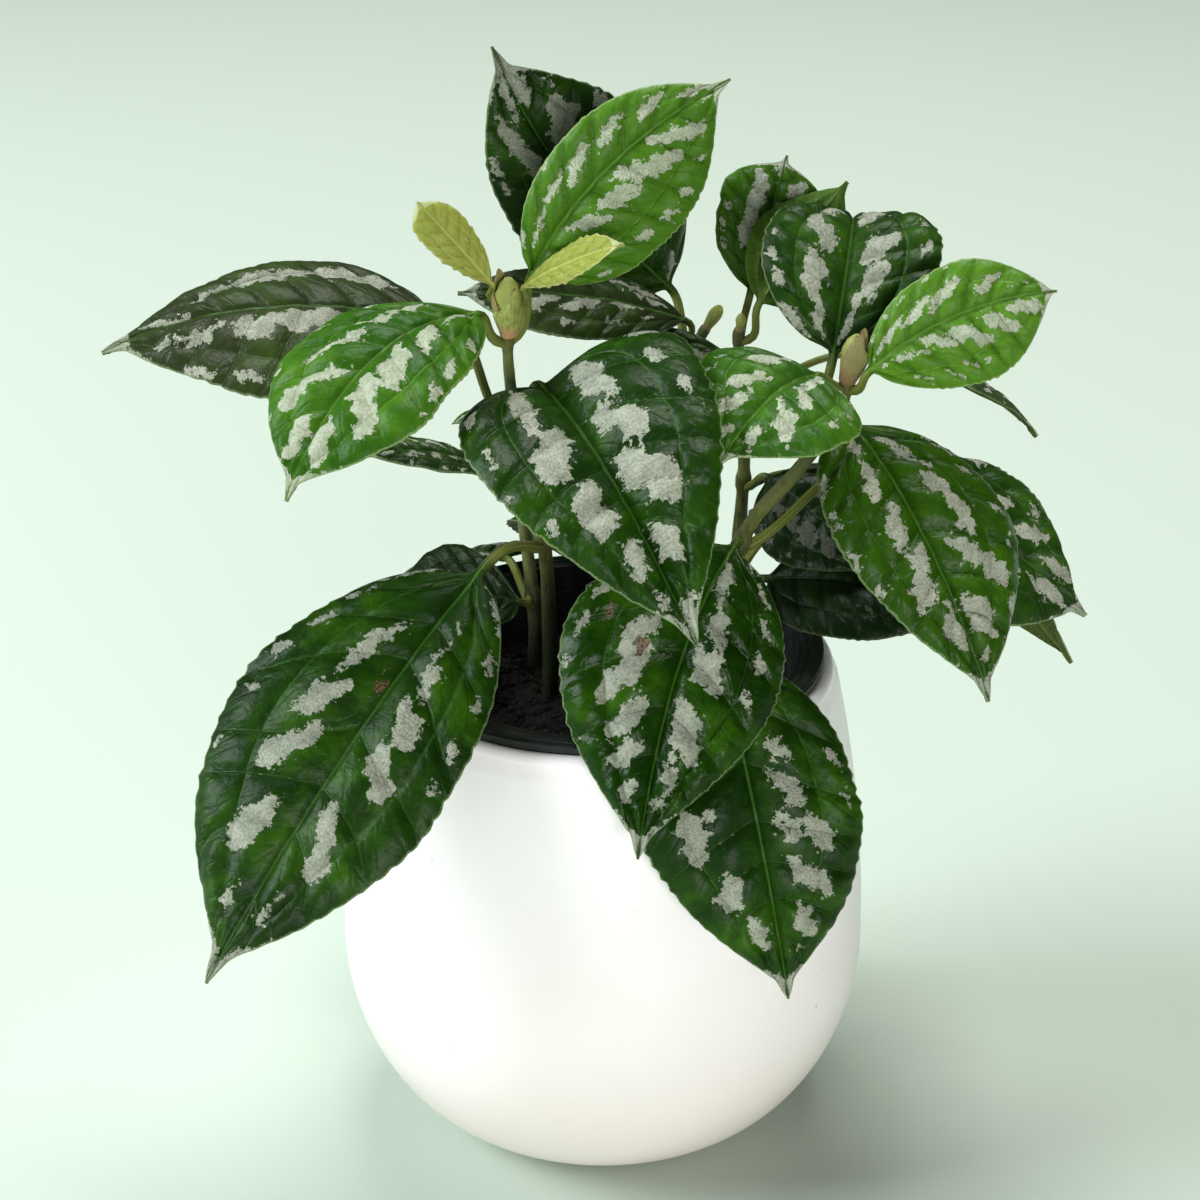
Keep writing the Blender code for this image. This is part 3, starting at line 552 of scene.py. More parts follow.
leaves = {
    "leaf_left_low": leafSpec(
        "stem_left", 141, (-26, -22, 143), (-81, -80, 77), (23.5, 30), (-0.2, -0.75, 0.6), (10, 8),
        widest=(0.5, 0.5), puff=1.3, wave=0.8, scars=[(0.33, 0.05, 1.2), (0.30, 0.10, 0.8)],
        right=[(19, 22, 34.5, 40, 7), (35.6, 26, 45, 46, 10), (46.5, 24, 57.5, 48, 11),
            (64, 25, 74, 48, 16), (80, 30, 86, 40, 14, 40), (14, 86, 19, 90, 5), (24, 80, 28.5, 88, 5),
            (34, 86, 37, 93, 5), (44.5, 83, 47, 92, 3.5), (57, 90, 60, 92, 4, 50), (3, 97, 13, 97, 4)],
        left=[(12, 30, 16.5, 33, 3.5), (17.5, 32, 21, 29, 4), (21.5, 25, 31, 36, 9),
            (33, 25, 41, 47, 13), (44, 28, 52, 50, 13), (58.5, 20, 65.5, 38, 11), (65.5, 35, 72.5, 52, 14),
            (77.5, 40, 86, 38, 14, 60), (2, 90, 10, 97, 6), (15.5, 85, 19.5, 90, 5), (25, 87, 27, 87, 3),
            (34.5, 80, 38.5, 87, 5), (44, 86, 46, 86, 2.5)],
    ),
    "leaf_left_side": leafSpec(
        "stem_left", 169, (-34, 2, 190), (-104, -18, 191), (25, 21.5), (0, -0.4, 1), (10, 12), fold=0.0,
        drop=0.2, widest=(0.4, 0.3), root=(0.7, 0.45), taper=(2.4, 1.9), grey=0.05, warm=0.5, puff=1.2,
        right=[(14, 60, 35, 62, 13), (35, 62, 60, 60, 13), (60, 60, 74, 40, 8), (75, 0, 88, 35, 15),
            (8, 95, 16, 90, 8)],
        left=[(32, 15, 50, 22, 14), (50, 22, 62, 30, 15), (66, 20, 76, 45, 10), (78, 40, 86, 60, 10),
            (58, 83, 66, 86, 7), (72, 88, 78, 90, 6)],
    ),
    "leaf_front": leafSpec(
        "stem_left", 172, (-13, -20, 184), (18, -76, 151), (27.5, 24.5), (0, -0.6, 0.8), (14, 10), fold=0.75,
        drop=0.5, widest=(0.22, 0.32), root=(0.4, 0.5), puff=1.6, wave=0.8, gloss=0.2,
        right=[(7, 45, 31, 42, 10), (31, 22, 46, 52, 17), (50, 27, 65, 48, 18), (69, 20, 79, 45, 18),
            (84, 35, 90, 60, 20), (17, 85, 22, 88, 6), (32, 85, 33, 86, 3), (35, 86, 38, 88, 4),
            (47, 93, 48, 93, 2), (57, 82, 61, 87, 5)],
        left=[(8, 25, 28, 30, 11), (29, 15, 42, 36, 13), (46, 15, 62, 45, 20), (68, 12, 78, 38, 17),
            (86, 40, 93, 50, 30), (9, 80, 13, 90, 7), (20, 68, 25, 78, 5), (34, 79, 37, 82, 5),
            (43, 87, 45, 88, 3)],
    ),
    "leaf_left_bright": leafSpec(
        "stem_left", 190.5, (-26, -12, 197), (-63, -55, 173), (20, 20), (-0.3, -0.5, 0.8), (14, 10),
        swing=(3, 3), widest=(0.55, 0.55), root=(0.7, 0.5), taper=(2.2, 1.9), finish="leaf_bright", puff=1.2,
        patch=0.84,
        right=[(12, 42, 26, 45, 8), (25, 33, 37, 47, 9), (39, 30, 48, 48, 10), (47, 45, 57, 60, 7),
            (55, 14, 63, 40, 11), (62, 40, 73, 62, 16), (75, 20, 87, 45, 22), (5, 90, 15, 95, 5),
            (17, 93, 21, 95, 4), (23, 85, 30, 90, 5), (38, 85, 44, 90, 4), (61, 93, 63, 93, 3),
            (76, 90, 78, 90, 3)],
        left=[(6, 25, 20, 25, 8), (23, 20, 35, 45, 13), (38.5, 15, 54, 50, 17), (55, 17, 65, 42, 18),
            (64, 42, 74, 65, 17), (74, 13, 87, 50, 24), (17, 85, 24, 85, 6), (33, 83, 40, 90, 6),
            (45, 87, 51, 92, 6), (57, 93, 59, 93, 3)],
    ),
    "leaf_top_bright": leafSpec(
        "stem_left", 190.5, (-15, -8, 204), (26, -2, 244), (11, 19), (0.1, -1, 0.3), (7, 3), swing=(-7, -6),
        widest=(0.5, 0.42), root=(0.7, 0.5), taper=(1.9, 3.0), finish="leaf_bright", puff=1.2, fresh=0.5,
        patch=0.78,
        left=[(10, 45, 20, 50, 8), (20, 50, 36, 60, 10), (33, 30, 48, 62, 13), (48, 35, 63, 70, 13),
            (67, 35, 77, 70, 18), (82, 40, 89, 60, 20), (8, 90, 12, 95, 8), (18, 96, 20, 97, 5),
            (32, 96, 36, 97, 5)],
        right=[(23, 13, 35, 36, 10), (36, 20, 50, 36, 13), (48, 12, 58, 30, 13), (56, 30, 70, 44, 15),
            (66, 10, 76, 30, 12), (76, 35, 84, 50, 18), (83, 15, 93, 30, 15, 50), (12, 85, 17, 85, 5),
            (35, 75, 42, 82, 7), (48, 80, 56, 85, 6), (61, 77, 67, 83, 6), (75, 75, 79, 82, 5)],
    ),
    "leaf_young_left": leafSpec(
        "stem_left", 200, (-23, -11, 203), (-38, -12, 221), (5, 5), (0.2, -1, 0.4), (2, 1),
        widest=(0.72, 0.66), root=(1.0, 1.0), taper=(3.0, 2.6), finish="leaf_young", puff=0.7, teeth=8,
        tooth=5.5, wave=0.9, end=0.995,
        left=[(30, 40, 50, 50, 10, 40)],
        right=[(35, 40, 60, 50, 12, 30)],
    ),
    "leaf_young_right": leafSpec(
        "stem_left", 200, (-16.5, -12.5, 203), (4, -25, 216), (5, 4), (-0.2, -0.6, 0.7), (2, 2),
        widest=(0.55, 0.60), root=(1.0, 1.0), taper=(2.2, 2.2), finish="leaf_young", puff=0.7, teeth=9,
        tooth=6.0, wave=1.0, end=0.99,
        left=[(25, 40, 60, 50, 12, 30)],
        right=[(40, 40, 60, 50, 10, 40)],
    ),
    "leaf_right_hanging": leafSpec(
        "stem_right", 118, (24, -38, 131), (39, -66, 64), (22, 24), (0.1, -1, 0.4), (12, 8),
        taper=(2.8, 1.9), puff=1.4,
        left=[(26, 25, 32, 42, 8), (33.5, 20, 44, 45, 10), (46, 20, 54, 35, 10), (48, 45, 58, 65, 12),
            (60, 25, 70, 65, 13), (73, 30, 81, 50, 17), (84, 35, 86, 40, 15, 50), (31, 80, 36, 88, 4),
            (43, 86, 47, 88, 3), (83, 80, 85, 82, 5)],
        right=[(42, 60, 54, 60, 14), (42, 42, 44, 42, 5), (61, 38, 69, 50, 15), (74, 35, 83, 25, 15)],
    ),
    "leaf_front_low": leafSpec(
        "stem_right", 145, (28, -22, 149), (7, -68, 99), (21.5, 25), (0, -0.9, 0.5), (9, 6), swing=(6, 4),
        puff=2.2, gloss=1.0, scars=[(0.42, 0.35, 1.2), (0.35, 0.70, 0.9)],
        right=[(33, 30, 44, 50, 11), (43, 30, 58, 60, 13), (57, 20, 68, 55, 12), (69, 20, 75, 60, 12),
            (79, 30, 84, 50, 20, 70), (28, 84, 32, 88, 6), (37, 86, 43, 89, 5), (50, 92, 52, 94, 3),
            (69, 92, 71, 94, 4, 50)],
        left=[(8, 10, 22, 20, 9), (24, 17, 36, 32, 12), (38, 14, 48, 40, 14), (54, 12, 70, 48, 17),
            (71, 20, 80, 40, 13), (80, 38, 86, 25, 13), (3, 70, 7, 85, 7), (10, 72, 15, 82, 6),
            (20, 70, 25, 80, 5), (32, 70, 38, 76, 5), (46, 66, 50, 75, 4.5)],
    ),
    "leaf_right_back": leafSpec(
        "stem_right", 145, (60, -4, 159), (104, -22, 133), (23, 24), (0.5, -0.5, 0.8), (6, 5),
        swing=(2.3, 2.3), taper=(2.1, 2.7), grey=0.03, puff=1.2,
        left=[(20, 25, 33, 40, 7), (38, 25, 50, 45, 10), (58, 20, 69, 50, 13), (74, 20, 87, 60, 20),
            (24, 80, 30, 85, 6), (60, 70, 61, 70, 5)],
        right=[(15, 25, 30, 40, 8), (38, 25, 50, 48, 12), (56, 22, 66, 50, 13), (72, 25, 88, 45, 15),
            (30, 84, 35, 88, 6)],
    ),
    "leaf_right_front": leafSpec(
        "stem_right", 175, (51, -26, 178), (78, -60, 131), (22, 17.5), (0.4, -0.8, 0.5), (9, 6),
        widest=(0.48, 0.36), root=(0.7, 0.5), puff=1.7, fresh=0.4, gloss=0.4, patch=0.86,
        left=[(8, 15, 25, 42, 9), (28, 30, 34, 42, 12), (34, 40, 48, 45, 12), (49, 18, 58, 40, 12),
            (57, 45, 67, 70, 14), (68, 12, 80, 50, 22), (84, 30, 88, 40, 25, 50), (72, 90, 80, 95, 10),
            (10, 88, 15, 95, 5), (17, 83, 22, 90, 5), (27, 78, 33, 85, 4.5), (42, 80, 47, 87, 3.5),
            (54, 85, 60, 90, 3)],
        right=[(5, 25, 13, 33, 7), (14, 28, 29, 40, 11), (32, 25, 45, 42, 14), (47, 15, 55, 35, 15),
            (55, 35, 66, 55, 20), (67, 20, 82, 40, 25), (13, 90, 21, 96, 5), (27, 93, 33, 95, 5),
            (40, 93, 46, 96, 5), (53, 90, 58, 95, 6)],
    ),
    "leaf_right_up": leafSpec(
        "stem_right", 175, (48, -14, 189), (54, 21, 207), (18, 19), (0, -1, 0.9), (12, 19), fold=0.5,
        taper=(2.3, 3.2), puff=1.2, grey=0.03, patch=0.78,
        left=[(5, 40, 22, 35, 12), (20, 35, 36, 45, 14), (30, 25, 42, 45, 10), (44, 20, 60, 50, 15),
            (66, 45, 76, 20, 12), (46, 90, 48, 87, 6), (34, 85, 39, 93, 6), (23, 75, 29, 87, 6),
            (6, 75, 17, 95, 8)],
        right=[(5, 10, 20, 20, 10), (20, 15, 38, 40, 13), (40, 15, 55, 48, 16), (65, 15, 85, 45, 20),
            (46, 80, 53, 87, 6), (64, 84, 66, 86, 8)],
    ),
    "leaf_right_bright": leafSpec(
        "stem_right", 185, (54.3, -26.3, 189.5), (92, -24, 206), (10.5, 14.5), (0.1, -1, 0.5), (3, 3),
        swing=(-4.4, -4.4), widest=(0.55, 0.55), taper=(1.9, 2.6), finish="leaf_bright", puff=0.9, fresh=0.7,
        end=0.975, patch=0.78,
        left=[(5, 30, 27, 55, 10), (26, 35, 42, 60, 12), (40, 30, 57, 65, 14), (60, 25, 75, 70, 16),
            (78, 30, 88, 60, 18, 50), (8, 85, 13, 90, 6), (17, 83, 22, 90, 5), (28, 83, 34, 90, 5),
            (41, 88, 46, 93, 5), (52, 93, 54, 93, 3)],
        right=[(8, 15, 30, 30, 8), (29, 10, 45, 35, 12), (42, 15, 62, 50, 15), (60, 15, 77, 50, 15),
            (75, 15, 90, 45, 20), (17, 70, 25, 80, 5), (32, 70, 40, 85, 6), (43, 65, 50, 75, 6),
            (55, 70, 60, 75, 5)],
    ),
    "leaf_right_small": leafSpec(
        "stem_right", 185, (44, -26, 188.5), (23, -48, 178), (18.5, 19), (-0.2, -0.6, 0.8), (8, 7),
        widest=(0.38, 0.38), root=(0.7, 0.5), taper=(2.6, 1.9), finish="leaf_bright", puff=1.0, grey=0.04,
        patch=0.66,
        right=[(5, 35, 20, 45, 10), (18, 30, 34, 55, 12), (38, 15, 57, 50, 15), (60, 20, 76, 70, 20),
            (78, 20, 87, 60, 25, 50), (10, 85, 17, 88, 5), (20, 80, 27, 85, 5), (37, 78, 43, 85, 6),
            (50, 82, 55, 88, 5), (63, 85, 67, 90, 5)],
        left=[(3, 15, 28, 25, 13), (30, 12, 45, 42, 13), (48, 12, 55, 25, 7), (56, 30, 70, 60, 18),
            (72, 20, 87, 60, 15), (5, 85, 10, 90, 5), (13, 80, 20, 85, 6), (28, 78, 33, 83, 6),
            (40, 75, 47, 83, 6), (73, 80, 75, 80, 5)],
    ),
    "leaf_upper_back": leafSpec(
        "stem_back_right", 182, (33, 29, 189), (40, 28, 220), (12, 11), (-0.2, -1, 0.2), (3, 2),
        widest=(0.6, 0.6), taper=(3.5, 3.5), puff=0.7, fresh=0.65,
        left=[(33, 40, 52, 35, 14), (52, 25, 68, 40, 16), (70, 20, 85, 55, 16), (86, 0, 96, 30, 25),
            (27, 80, 33, 87, 7), (40, 80, 45, 88, 7), (54, 75, 60, 83, 6)],
        right=[(74, 30, 85, 70, 15), (48, 30, 66, 45, 14)],
    ),
    "leaf_upper_curled": leafSpec(
        "stem_back_right", 182, (34, 14, 191), (53, 21, 216), (11, 10), (0.2, 1, 0.4), (3, 3), twist=50,
        puff=0.6, fresh=0.7,
    ),
    "leaf_centre_dark": leafSpec(
        "stem_back_right", 166, (29.5, 11, 178), (2, -4, 168), (17, 17), (0, -0.7, 0.7), (4, 4), puff=0.7,
        grey=-0.6,
        right=[(33, 70, 42, 80, 12), (15, 30, 30, 40, 9), (50, 30, 60, 40, 13)],
    ),
    "leaf_right_far": leafSpec(
        "stem_back_right", 166, (66, 25, 175), (98, 20, 158), (14, 14), (0.3, 0.3, 1), (4, 4), grey=0.4,
    ),
    "leaf_inner_right": leafSpec(
        "stem_back_right", 146, (37, 14, 150), (60, -6, 135), (15, 14), (0.1, -0.7, 0.7), (4, 3), puff=0.5,
        grey=-0.75,
    ),
    "leaf_right_under": leafSpec(
        "stem_back_right", 146, (74, 12, 139), (106, 0, 111), (12, 12), (0.6, 0.6, 0.6), (3, 3), puff=0.5,
    ),
    "leaf_right_shaded": leafSpec(
        "stem_back_right", 124, (37, 8, 128), (83, -15, 129.5), (21, 16), (0.1, -0.5, 1), (5, 4),
        root=(0.5, 0.5), puff=0.7, grey=-0.78,
        left=[(40, 40, 46, 50, 3)],
        right=[(50, 50, 56, 55, 3)],
    ),
    "leaf_rear_right": leafSpec(
        "stem_back_right", 124, (40, 34, 128), (72, 66, 104), (21, 21), (0.5, 0.5, 0.8), (9, 7),
    ),
    "leaf_back_top": leafSpec(
        "stem_back", 175, (15, 34, 188), (-23, 9, 248), (16, 21), (0, -1, 0.5), (4, 4), swing=(-4, -7),
        taper=(2.6, 2.6), grey=-0.22, puff=1.0,
        left=[(78, 25, 94, 60, 15), (60, 30, 82, 65, 15), (64, 85, 73, 90, 5), (20, 25, 34, 42, 10),
            (40, 25, 54, 48, 13)],
        right=[(81, 15, 93, 45, 25), (60, 20, 77, 50, 22), (82, 75, 86, 85, 12, 50),
            (64, 85, 70, 90, 10), (3, 30, 10, 50, 10), (20, 25, 34, 42, 10), (40, 25, 54, 48, 13)],
    ),
    "leaf_back_across": leafSpec(
        "stem_back", 175, (18, 17, 186), (-31, 3, 197), (11, 9), (0, -0.6, 1), (5, 4), widest=(0.5, 0.42),
        root=(1.0, 0.7), taper=(2.8, 2.8), puff=0.6, grey=0.05, warm=0.4, end=0.975,
        left=[(22, 8, 38, 15, 10), (42, 10, 57, 40, 16), (60, 15, 72, 45, 16), (80, 10, 88, 30, 15),
            (18, 40, 22, 45, 6), (33, 55, 39, 60, 7), (53, 70, 60, 75, 6)],
        right=[(10, 60, 35, 65, 10), (10, 30, 30, 40, 8)],
    ),
    "leaf_rear_high": leafSpec(
        "stem_back", 152, (16, 40, 157), (30, 88, 135), (21, 21), (0.1, 0.5, 1), (9, 7), puff=0.9,
    ),
    "leaf_inner_front": leafSpec(
        "stem_back", 152, (11, 20, 153), (2, -6, 144), (11, 11), (0, -0.6, 1), (4, 4), puff=0.5, grey=-0.5,
    ),
    "leaf_rear_low": leafSpec(
        "stem_back", 120, (4, 43, 126), (-8, 90, 95), (23, 23), (0, 0.7, 1), (10, 8), puff=1.0,
    ),
    "leaf_left_far": leafSpec(
        "stem_back_left", 148, (-25, 22, 149), (-54, -2, 162), (9, 12), (-0.2, -0.3, 1), (3, 3), puff=0.5,
        grey=0.1,
    ),
    "leaf_left_shaded": leafSpec(
        "stem_back_left", 115, (-19, 15, 119), (-49, 8, 121), (12, 18), (-0.1, -0.3, 1), (4, 5), fold=0.1,
        drop=0.1, puff=0.7, grey=-0.75,
        left=[(60, 50, 64, 55, 2)],
        right=[(60, 50, 64, 55, 2)],
    ),
    "leaf_rear_small": leafSpec(
        "stem_back_left", 154, (-15, 36, 158.5), (2, 43, 154), (9, 9), (-0.3, -0.2, 1), (4, 3), puff=0.5,
        grey=0.05,
    ),
    "leaf_rear_left": leafSpec(
        "stem_back_left", 148, (-22, 42, 153), (-14, 88, 134), (17, 17), (-0.2, 0.5, 1), (8, 6), puff=0.8,
    ),
    "leaf_rear_left_low": leafSpec(
        "stem_back_left", 115, (-23, 38, 120), (-46, 80, 92), (17, 17), (-0.3, 0.5, 0.9), (6, 6), puff=0.8,
    ),
}

# Where silver lies on a leaf that the photograph hides: rows beside the midrib and near the margin
plainPatches = dict(
    inner=[(0.13, 0.05), (0.25, 0.09), (0.38, 0.12), (0.51, 0.15), (0.66, 0.14), (0.81, 0.11)],
    outer=[(0.12, 0.05), (0.24, 0.05), (0.37, 0.05), (0.52, 0.04), (0.68, 0.03)],
)

def seededPatches(seed):
    maker = np.random.default_rng(seed)
    made = []
    for t, wide in plainPatches["inner"]:
        t = t + maker.uniform(-0.015, 0.015)
        low, high = maker.uniform(0.20, 0.28), maker.uniform(0.42, 0.52)
        made.append((t - 0.05, low, t + 0.05, high, wide * maker.uniform(0.85, 1.15)))
    for t, wide in plainPatches["outer"]:
        t = t + maker.uniform(-0.02, 0.02)
        q = maker.uniform(0.80, 0.88)
        made.append((t - 0.02, q, t + 0.02, q + 0.05, wide * maker.uniform(0.7, 1.2)))
    return made


def easeUp(x, low, high):
    u = np.clip((x - low) / (high - low), 0, 1)
    return u * u * (3 - 2 * u)


def bezier(path, u):
    a, b, c, d = [np.array(p, float) for p in path]
    u = np.asarray(u, float)[:, None]
    v = 1 - u
    return a * v ** 3 + b * (3 * v * v * u) + c * (3 * v * u * u) + d * u ** 3


def halfWidth(t, widest, root, taper, end):
    # The blade's outline: a round base, then a taper into a drip tip
    base = (1 - np.clip((widest - t) / widest, 0, 1) ** 2.3) ** root
    body = np.clip(1 - np.clip((t - widest) / (end - widest), 0, None) ** taper, 0, None)
    drip = leafShape["dripWidth"] * np.minimum(1, (1 - t) / 0.16) ** 0.75
    return np.where(t < widest, base, (body ** 3 + drip ** 3) ** (1 / 3))


def sideVeinAt(t):
    # Share across of the long side veins, which curve in again towards the tip
    place = 0.62 * (1 - np.exp(-t / 0.07)) - 0.13 * easeUp(t, 0.45, 0.8) - 0.2 * easeUp(t, 0.8, 1)
    return np.maximum(0.13, place)


def strokeDepth(strokes, x, y, length, half, outline, scale):
    # Distance into the nearest stroke in mm, less than 0 outside
    depth = np.full(x.shape, patchShape["outside"])
    for t0, q0, t1, q1, wide, *strength in strokes:
        a = np.array([q0 * half * halfWidth(t0, *outline), t0 * length])
        b = np.array([q1 * half * halfWidth(t1, *outline), t1 * length])
        reach = max(patchShape["shortest"], np.hypot(*(b - a)))
        heading = (b - a) / reach
        ahead = (x - a[0]) * heading[0] + (y - a[1]) * heading[1]
        aside = (x - a[0]) * heading[1] - (y - a[1]) * heading[0]
        faint = patchShape["faint"] * (1 - strength[0]) if strength else 0
        body = wide * half * halfWidth((t0 + t1) / 2, *outline) * scale
        cap = body * patchShape["cap"]
        share = (ahead + cap) / (reach + 2 * cap)
        beyond = np.maximum(0, np.abs(share - 0.5) - 0.5) * (reach + 2 * cap)
        share = np.clip(share, 0, 1)
        # A spindle, fuller towards its end, with lobes that differ on its two sides
        side = np.where(aside > 0, 1.9, 0.0)
        lobes = np.sin(9 * share + 40 * t0 + side) + 0.7 * np.sin(19 * share + 70 * q1 + 2 * side)
        spindle = np.sin(math.pi * share ** 1.15) ** 0.62 * (1 + patchShape["lobes"] * lobes)
        depth = np.maximum(depth, body * spindle - np.hypot(beyond, aside) - faint)
    return depth


def columns(inner, outer):
    # Shares across one half: 0 to 1 up to the side vein and 1 to 2 from there to the margin
    def spread(count):
        u = np.linspace(0, 1, count + 1)
        return 0.45 * u + 0.55 * (1 - np.cos(math.pi * u)) / 2
    return np.concatenate([spread(inner), 1 + spread(outer)[1:]])


def threes(*parts):
    return np.stack(np.broadcast_arrays(*parts), axis=-1).reshape(-1, 3)


def makeLeaf(name, spec, seed):
    form = leafShape
    stem = stems[spec["stem"]]
    base, tip = Vector(spec["base"]), Vector(spec["tip"])
    chord = tip - base
    along = chord.normalized()
    side = along.cross(Vector(spec["faces"])).normalized()
    face = side.cross(along)
    push = [face * spec["bow"][k] + side * spec["swing"][k] for k in (0, 1)]
    blade = (base, base + chord / 3 + push[0], base + chord * 2 / 3 + push[1], tip)
    node = stemPoint(stem, spec["node"])
    girth = form["stalkRadius"] + form["stalkGrowth"] * sum(spec["halves"])
    axis = (stemPoint(stem, spec["node"] + 1) - stemPoint(stem, spec["node"] - 1)).normalized()
    out = base - node
    out = (out - axis * out.dot(axis)).normalized()
    tilt = math.radians(form["stalkTilt"])
    stand = stemRadius(spec["stem"], spec["node"]) + stemShape["gap"]
    foot = node + out * (stand + girth * math.sin(tilt))
    rise = out * math.cos(tilt) + axis * math.sin(tilt)
    reach = (base - foot).length
    start = (blade[1] - blade[0]).normalized()
    stalk = (foot, foot + rise * reach * 0.4, base - start * reach * 0.4, base)
    length = chord.length
    width = max(spec["halves"])

    # Rows: the stalk from inside the stem, then the blade
    stalkRows = leafRows["stalkFewest"] + int(reach / leafRows["stalkStep"])
    u = np.linspace(0, 1, stalkRows + 1)
    bladeRows = int(np.clip(length * leafRows["perMm"], *leafRows["limits"])) // 1
    s = np.linspace(0, 1, bladeRows + 1)[1:]
    t = 0.55 * s + 0.45 * (1 - np.cos(math.pi * s)) / 2
    middle = np.concatenate([bezier(stalk, u), bezier(blade, t)])
    ahead = np.concatenate([
        bezier(stalk, np.minimum(1, u + 0.01)) - bezier(stalk, np.maximum(0, u - 0.01)),
        bezier(blade, np.minimum(1, t + 0.01)) - bezier(blade, np.maximum(0, t - 0.01)),
    ])
    ahead /= np.linalg.norm(ahead, axis=1)[:, None]
    inward = np.array(foot - rise * (girth + form["stalkInside"]))
    middle = np.concatenate([[inward], middle])
    ahead = np.concatenate([[np.array(rise)], ahead])
    t = np.concatenate([np.zeros(stalkRows + 2), t])[:, None]
    isBlade = np.concatenate([np.zeros(stalkRows + 2), np.ones(bladeRows)])[:, None]
    sideways = np.array(side) - ahead * (ahead @ np.array(side))[:, None]
    sideways /= np.linalg.norm(sideways, axis=1)[:, None]
    upward = np.cross(sideways, ahead)
    turn = np.radians(spec["twist"]) * t
    sideways, upward = (
        sideways * np.cos(turn) + upward * np.sin(turn),
        upward * np.cos(turn) - sideways * np.sin(turn),
    )

    # Columns: over the top from left to right and back underneath
    counts = columnCounts["fine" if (width > bigWidth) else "plain"]
    topHalf, lowHalf = [columns(count, count) for count in counts]
    topColumns = np.concatenate([-topHalf[:0:-1], topHalf])
    lowColumns = np.concatenate([lowHalf[::-1], -lowHalf[1:]])
    steps = np.concatenate([topColumns, lowColumns])[None, :]
    isTop = np.concatenate([np.ones(len(topColumns)), np.zeros(len(lowColumns))])[None, :]
    vein = sideVeinAt(t)
    size = np.abs(steps)
    q = np.sign(steps) * np.where(size < 1, size * vein, vein + (size - 1) * (1 - vein))
    right = steps > 0
    keys = ("widest", "root", "taper", "halves")
    widest, root, taper, half = [np.where(right, spec[key][1], spec[key][0]) for key in keys]

    # Forward-pointing teeth, each a little different
    maker = np.random.default_rng(seed)
    teeth, peak = spec["teeth"], form["toothPeak"]
    toothSize = maker.uniform(*form["toothRange"], (2, teeth + 2))
    firstTooth, lastTooth = form["toothSpan"]
    place = (t - firstTooth) / (lastTooth - firstTooth) * teeth + np.where(right, 0.0, 0.4)
    number = np.clip(place.astype(int), 0, teeth + 1)
    fraction = place - np.floor(place)
    tooth = np.where(fraction < peak, fraction / peak, (1 - fraction) / (1 - peak)) * 2 - 1
    tooth = tooth * toothSize[right.astype(int) * np.ones_like(number), number] * easeUp(t, 0.08, 0.3)
    notch = tooth * form["toothDepth"] * spec["tooth"] * np.minimum(1, 3 * (1 - t)) * (t < 0.95)
    wander = form["wander"] * waves(t * 40, np.where(right, 9.0, 0.0), seed + 5, 9)
    wander = wander * easeUp(t, 0.05, 0.2) * (t < 0.93)
    share = halfWidth(t, widest, root, taper, spec["end"]) + (notch + wander) * q ** 2
    bladeReach = np.maximum(form["tipWidth"], share * half)

    # Relief: quilted cells between the veins, grooves on top and ridges below
    a = np.abs(q)
    x = q * bladeReach
    y = t * length
    slant = form["cellSlant"] * (a / 0.55) ** 1.15
    first = maker.uniform(-0.2, 0.2, 2)
    cells = (t - slant) / form["cell"] + np.where(right, first[1], first[0]) + 8
    cells = cells + 0.25 * waves(y, x * 0.3, seed + 1, 30)
    inCell = cells - np.floor(cells)
    dome = 1 - np.abs(2 * inCell - 1) ** 2.4
    inner = np.sin(math.pi * np.clip(a / vein, 0, 1)) ** 0.8
    outer = 0.75 * np.sin(math.pi * np.clip((a - vein) / (1 - vein), 0, 1)) ** 0.9
    bulge = np.where(a < vein, inner, outer)
    fullness = spec["puff"] * np.minimum(1, bladeReach / 14) * easeUp(t, 0.02, 0.15)
    relief = fullness * bulge * (0.25 + 0.75 * dome) * (1 + 0.25 * waves(x, y, seed + 2, 18))
    relief = relief + 0.16 * waves(x, y, seed + 3, 7) * easeUp(t, 0.03, 0.15) * np.minimum(1, width / 12)
    outwardShare, forwardShare = veinLean
    slope = y * outwardShare - np.abs(x) * forwardShare
    slopeAhead = (np.abs(x) * outwardShare + y * forwardShare) * 0.35
    folds = np.abs(waves(slope, slopeAhead, seed + 6, 14))
    relief = relief - form["wrinkle"] * (1 - folds) ** 3 * fullness * easeUp(a, 0.03, 0.2)
    relief = relief + spec["wave"] * a ** 3 * waves(y, x * 0.2, seed + 4, 22) * easeUp(t, 0.05, 0.2)
    crossDistance = np.minimum(inCell, 1 - inCell) * form["cell"] * length
    lateral = (a - vein) * bladeReach
    onVein = np.exp(-(lateral / 0.6) ** 2)
    onCross = np.exp(-(crossDistance / 0.75) ** 2) * easeUp(a, 0.02, 0.12) * (1 - easeUp(a, 0.75, 1))
    groove = form["ribGroove"] * np.exp(-(x / 0.7) ** 2) + form["veinGroove"] * onVein
    groove = (groove + form["crossGroove"] * onCross) * np.minimum(1, width / 14)
    lift = (spec["fold"] * a - spec["drop"] * q * q) * bladeReach + relief
    halfThick = form["halfThick"] * (1 - 0.65 * easeUp(a, 0.85, 1.0))
    ribDepth = form["rib"] * np.sqrt(1 - t) * np.minimum(1, width / 12)
    ridge = ribDepth * np.exp(-(x / (0.35 + 0.55 * (1 - t))) ** 2) + 0.25 * onVein
    lowHeight = lift - halfThick - ridge * np.minimum(1, width / 10) - groove * 0.85
    bladeHeight = np.where(isTop > 0, lift + halfThick - groove, lowHeight)

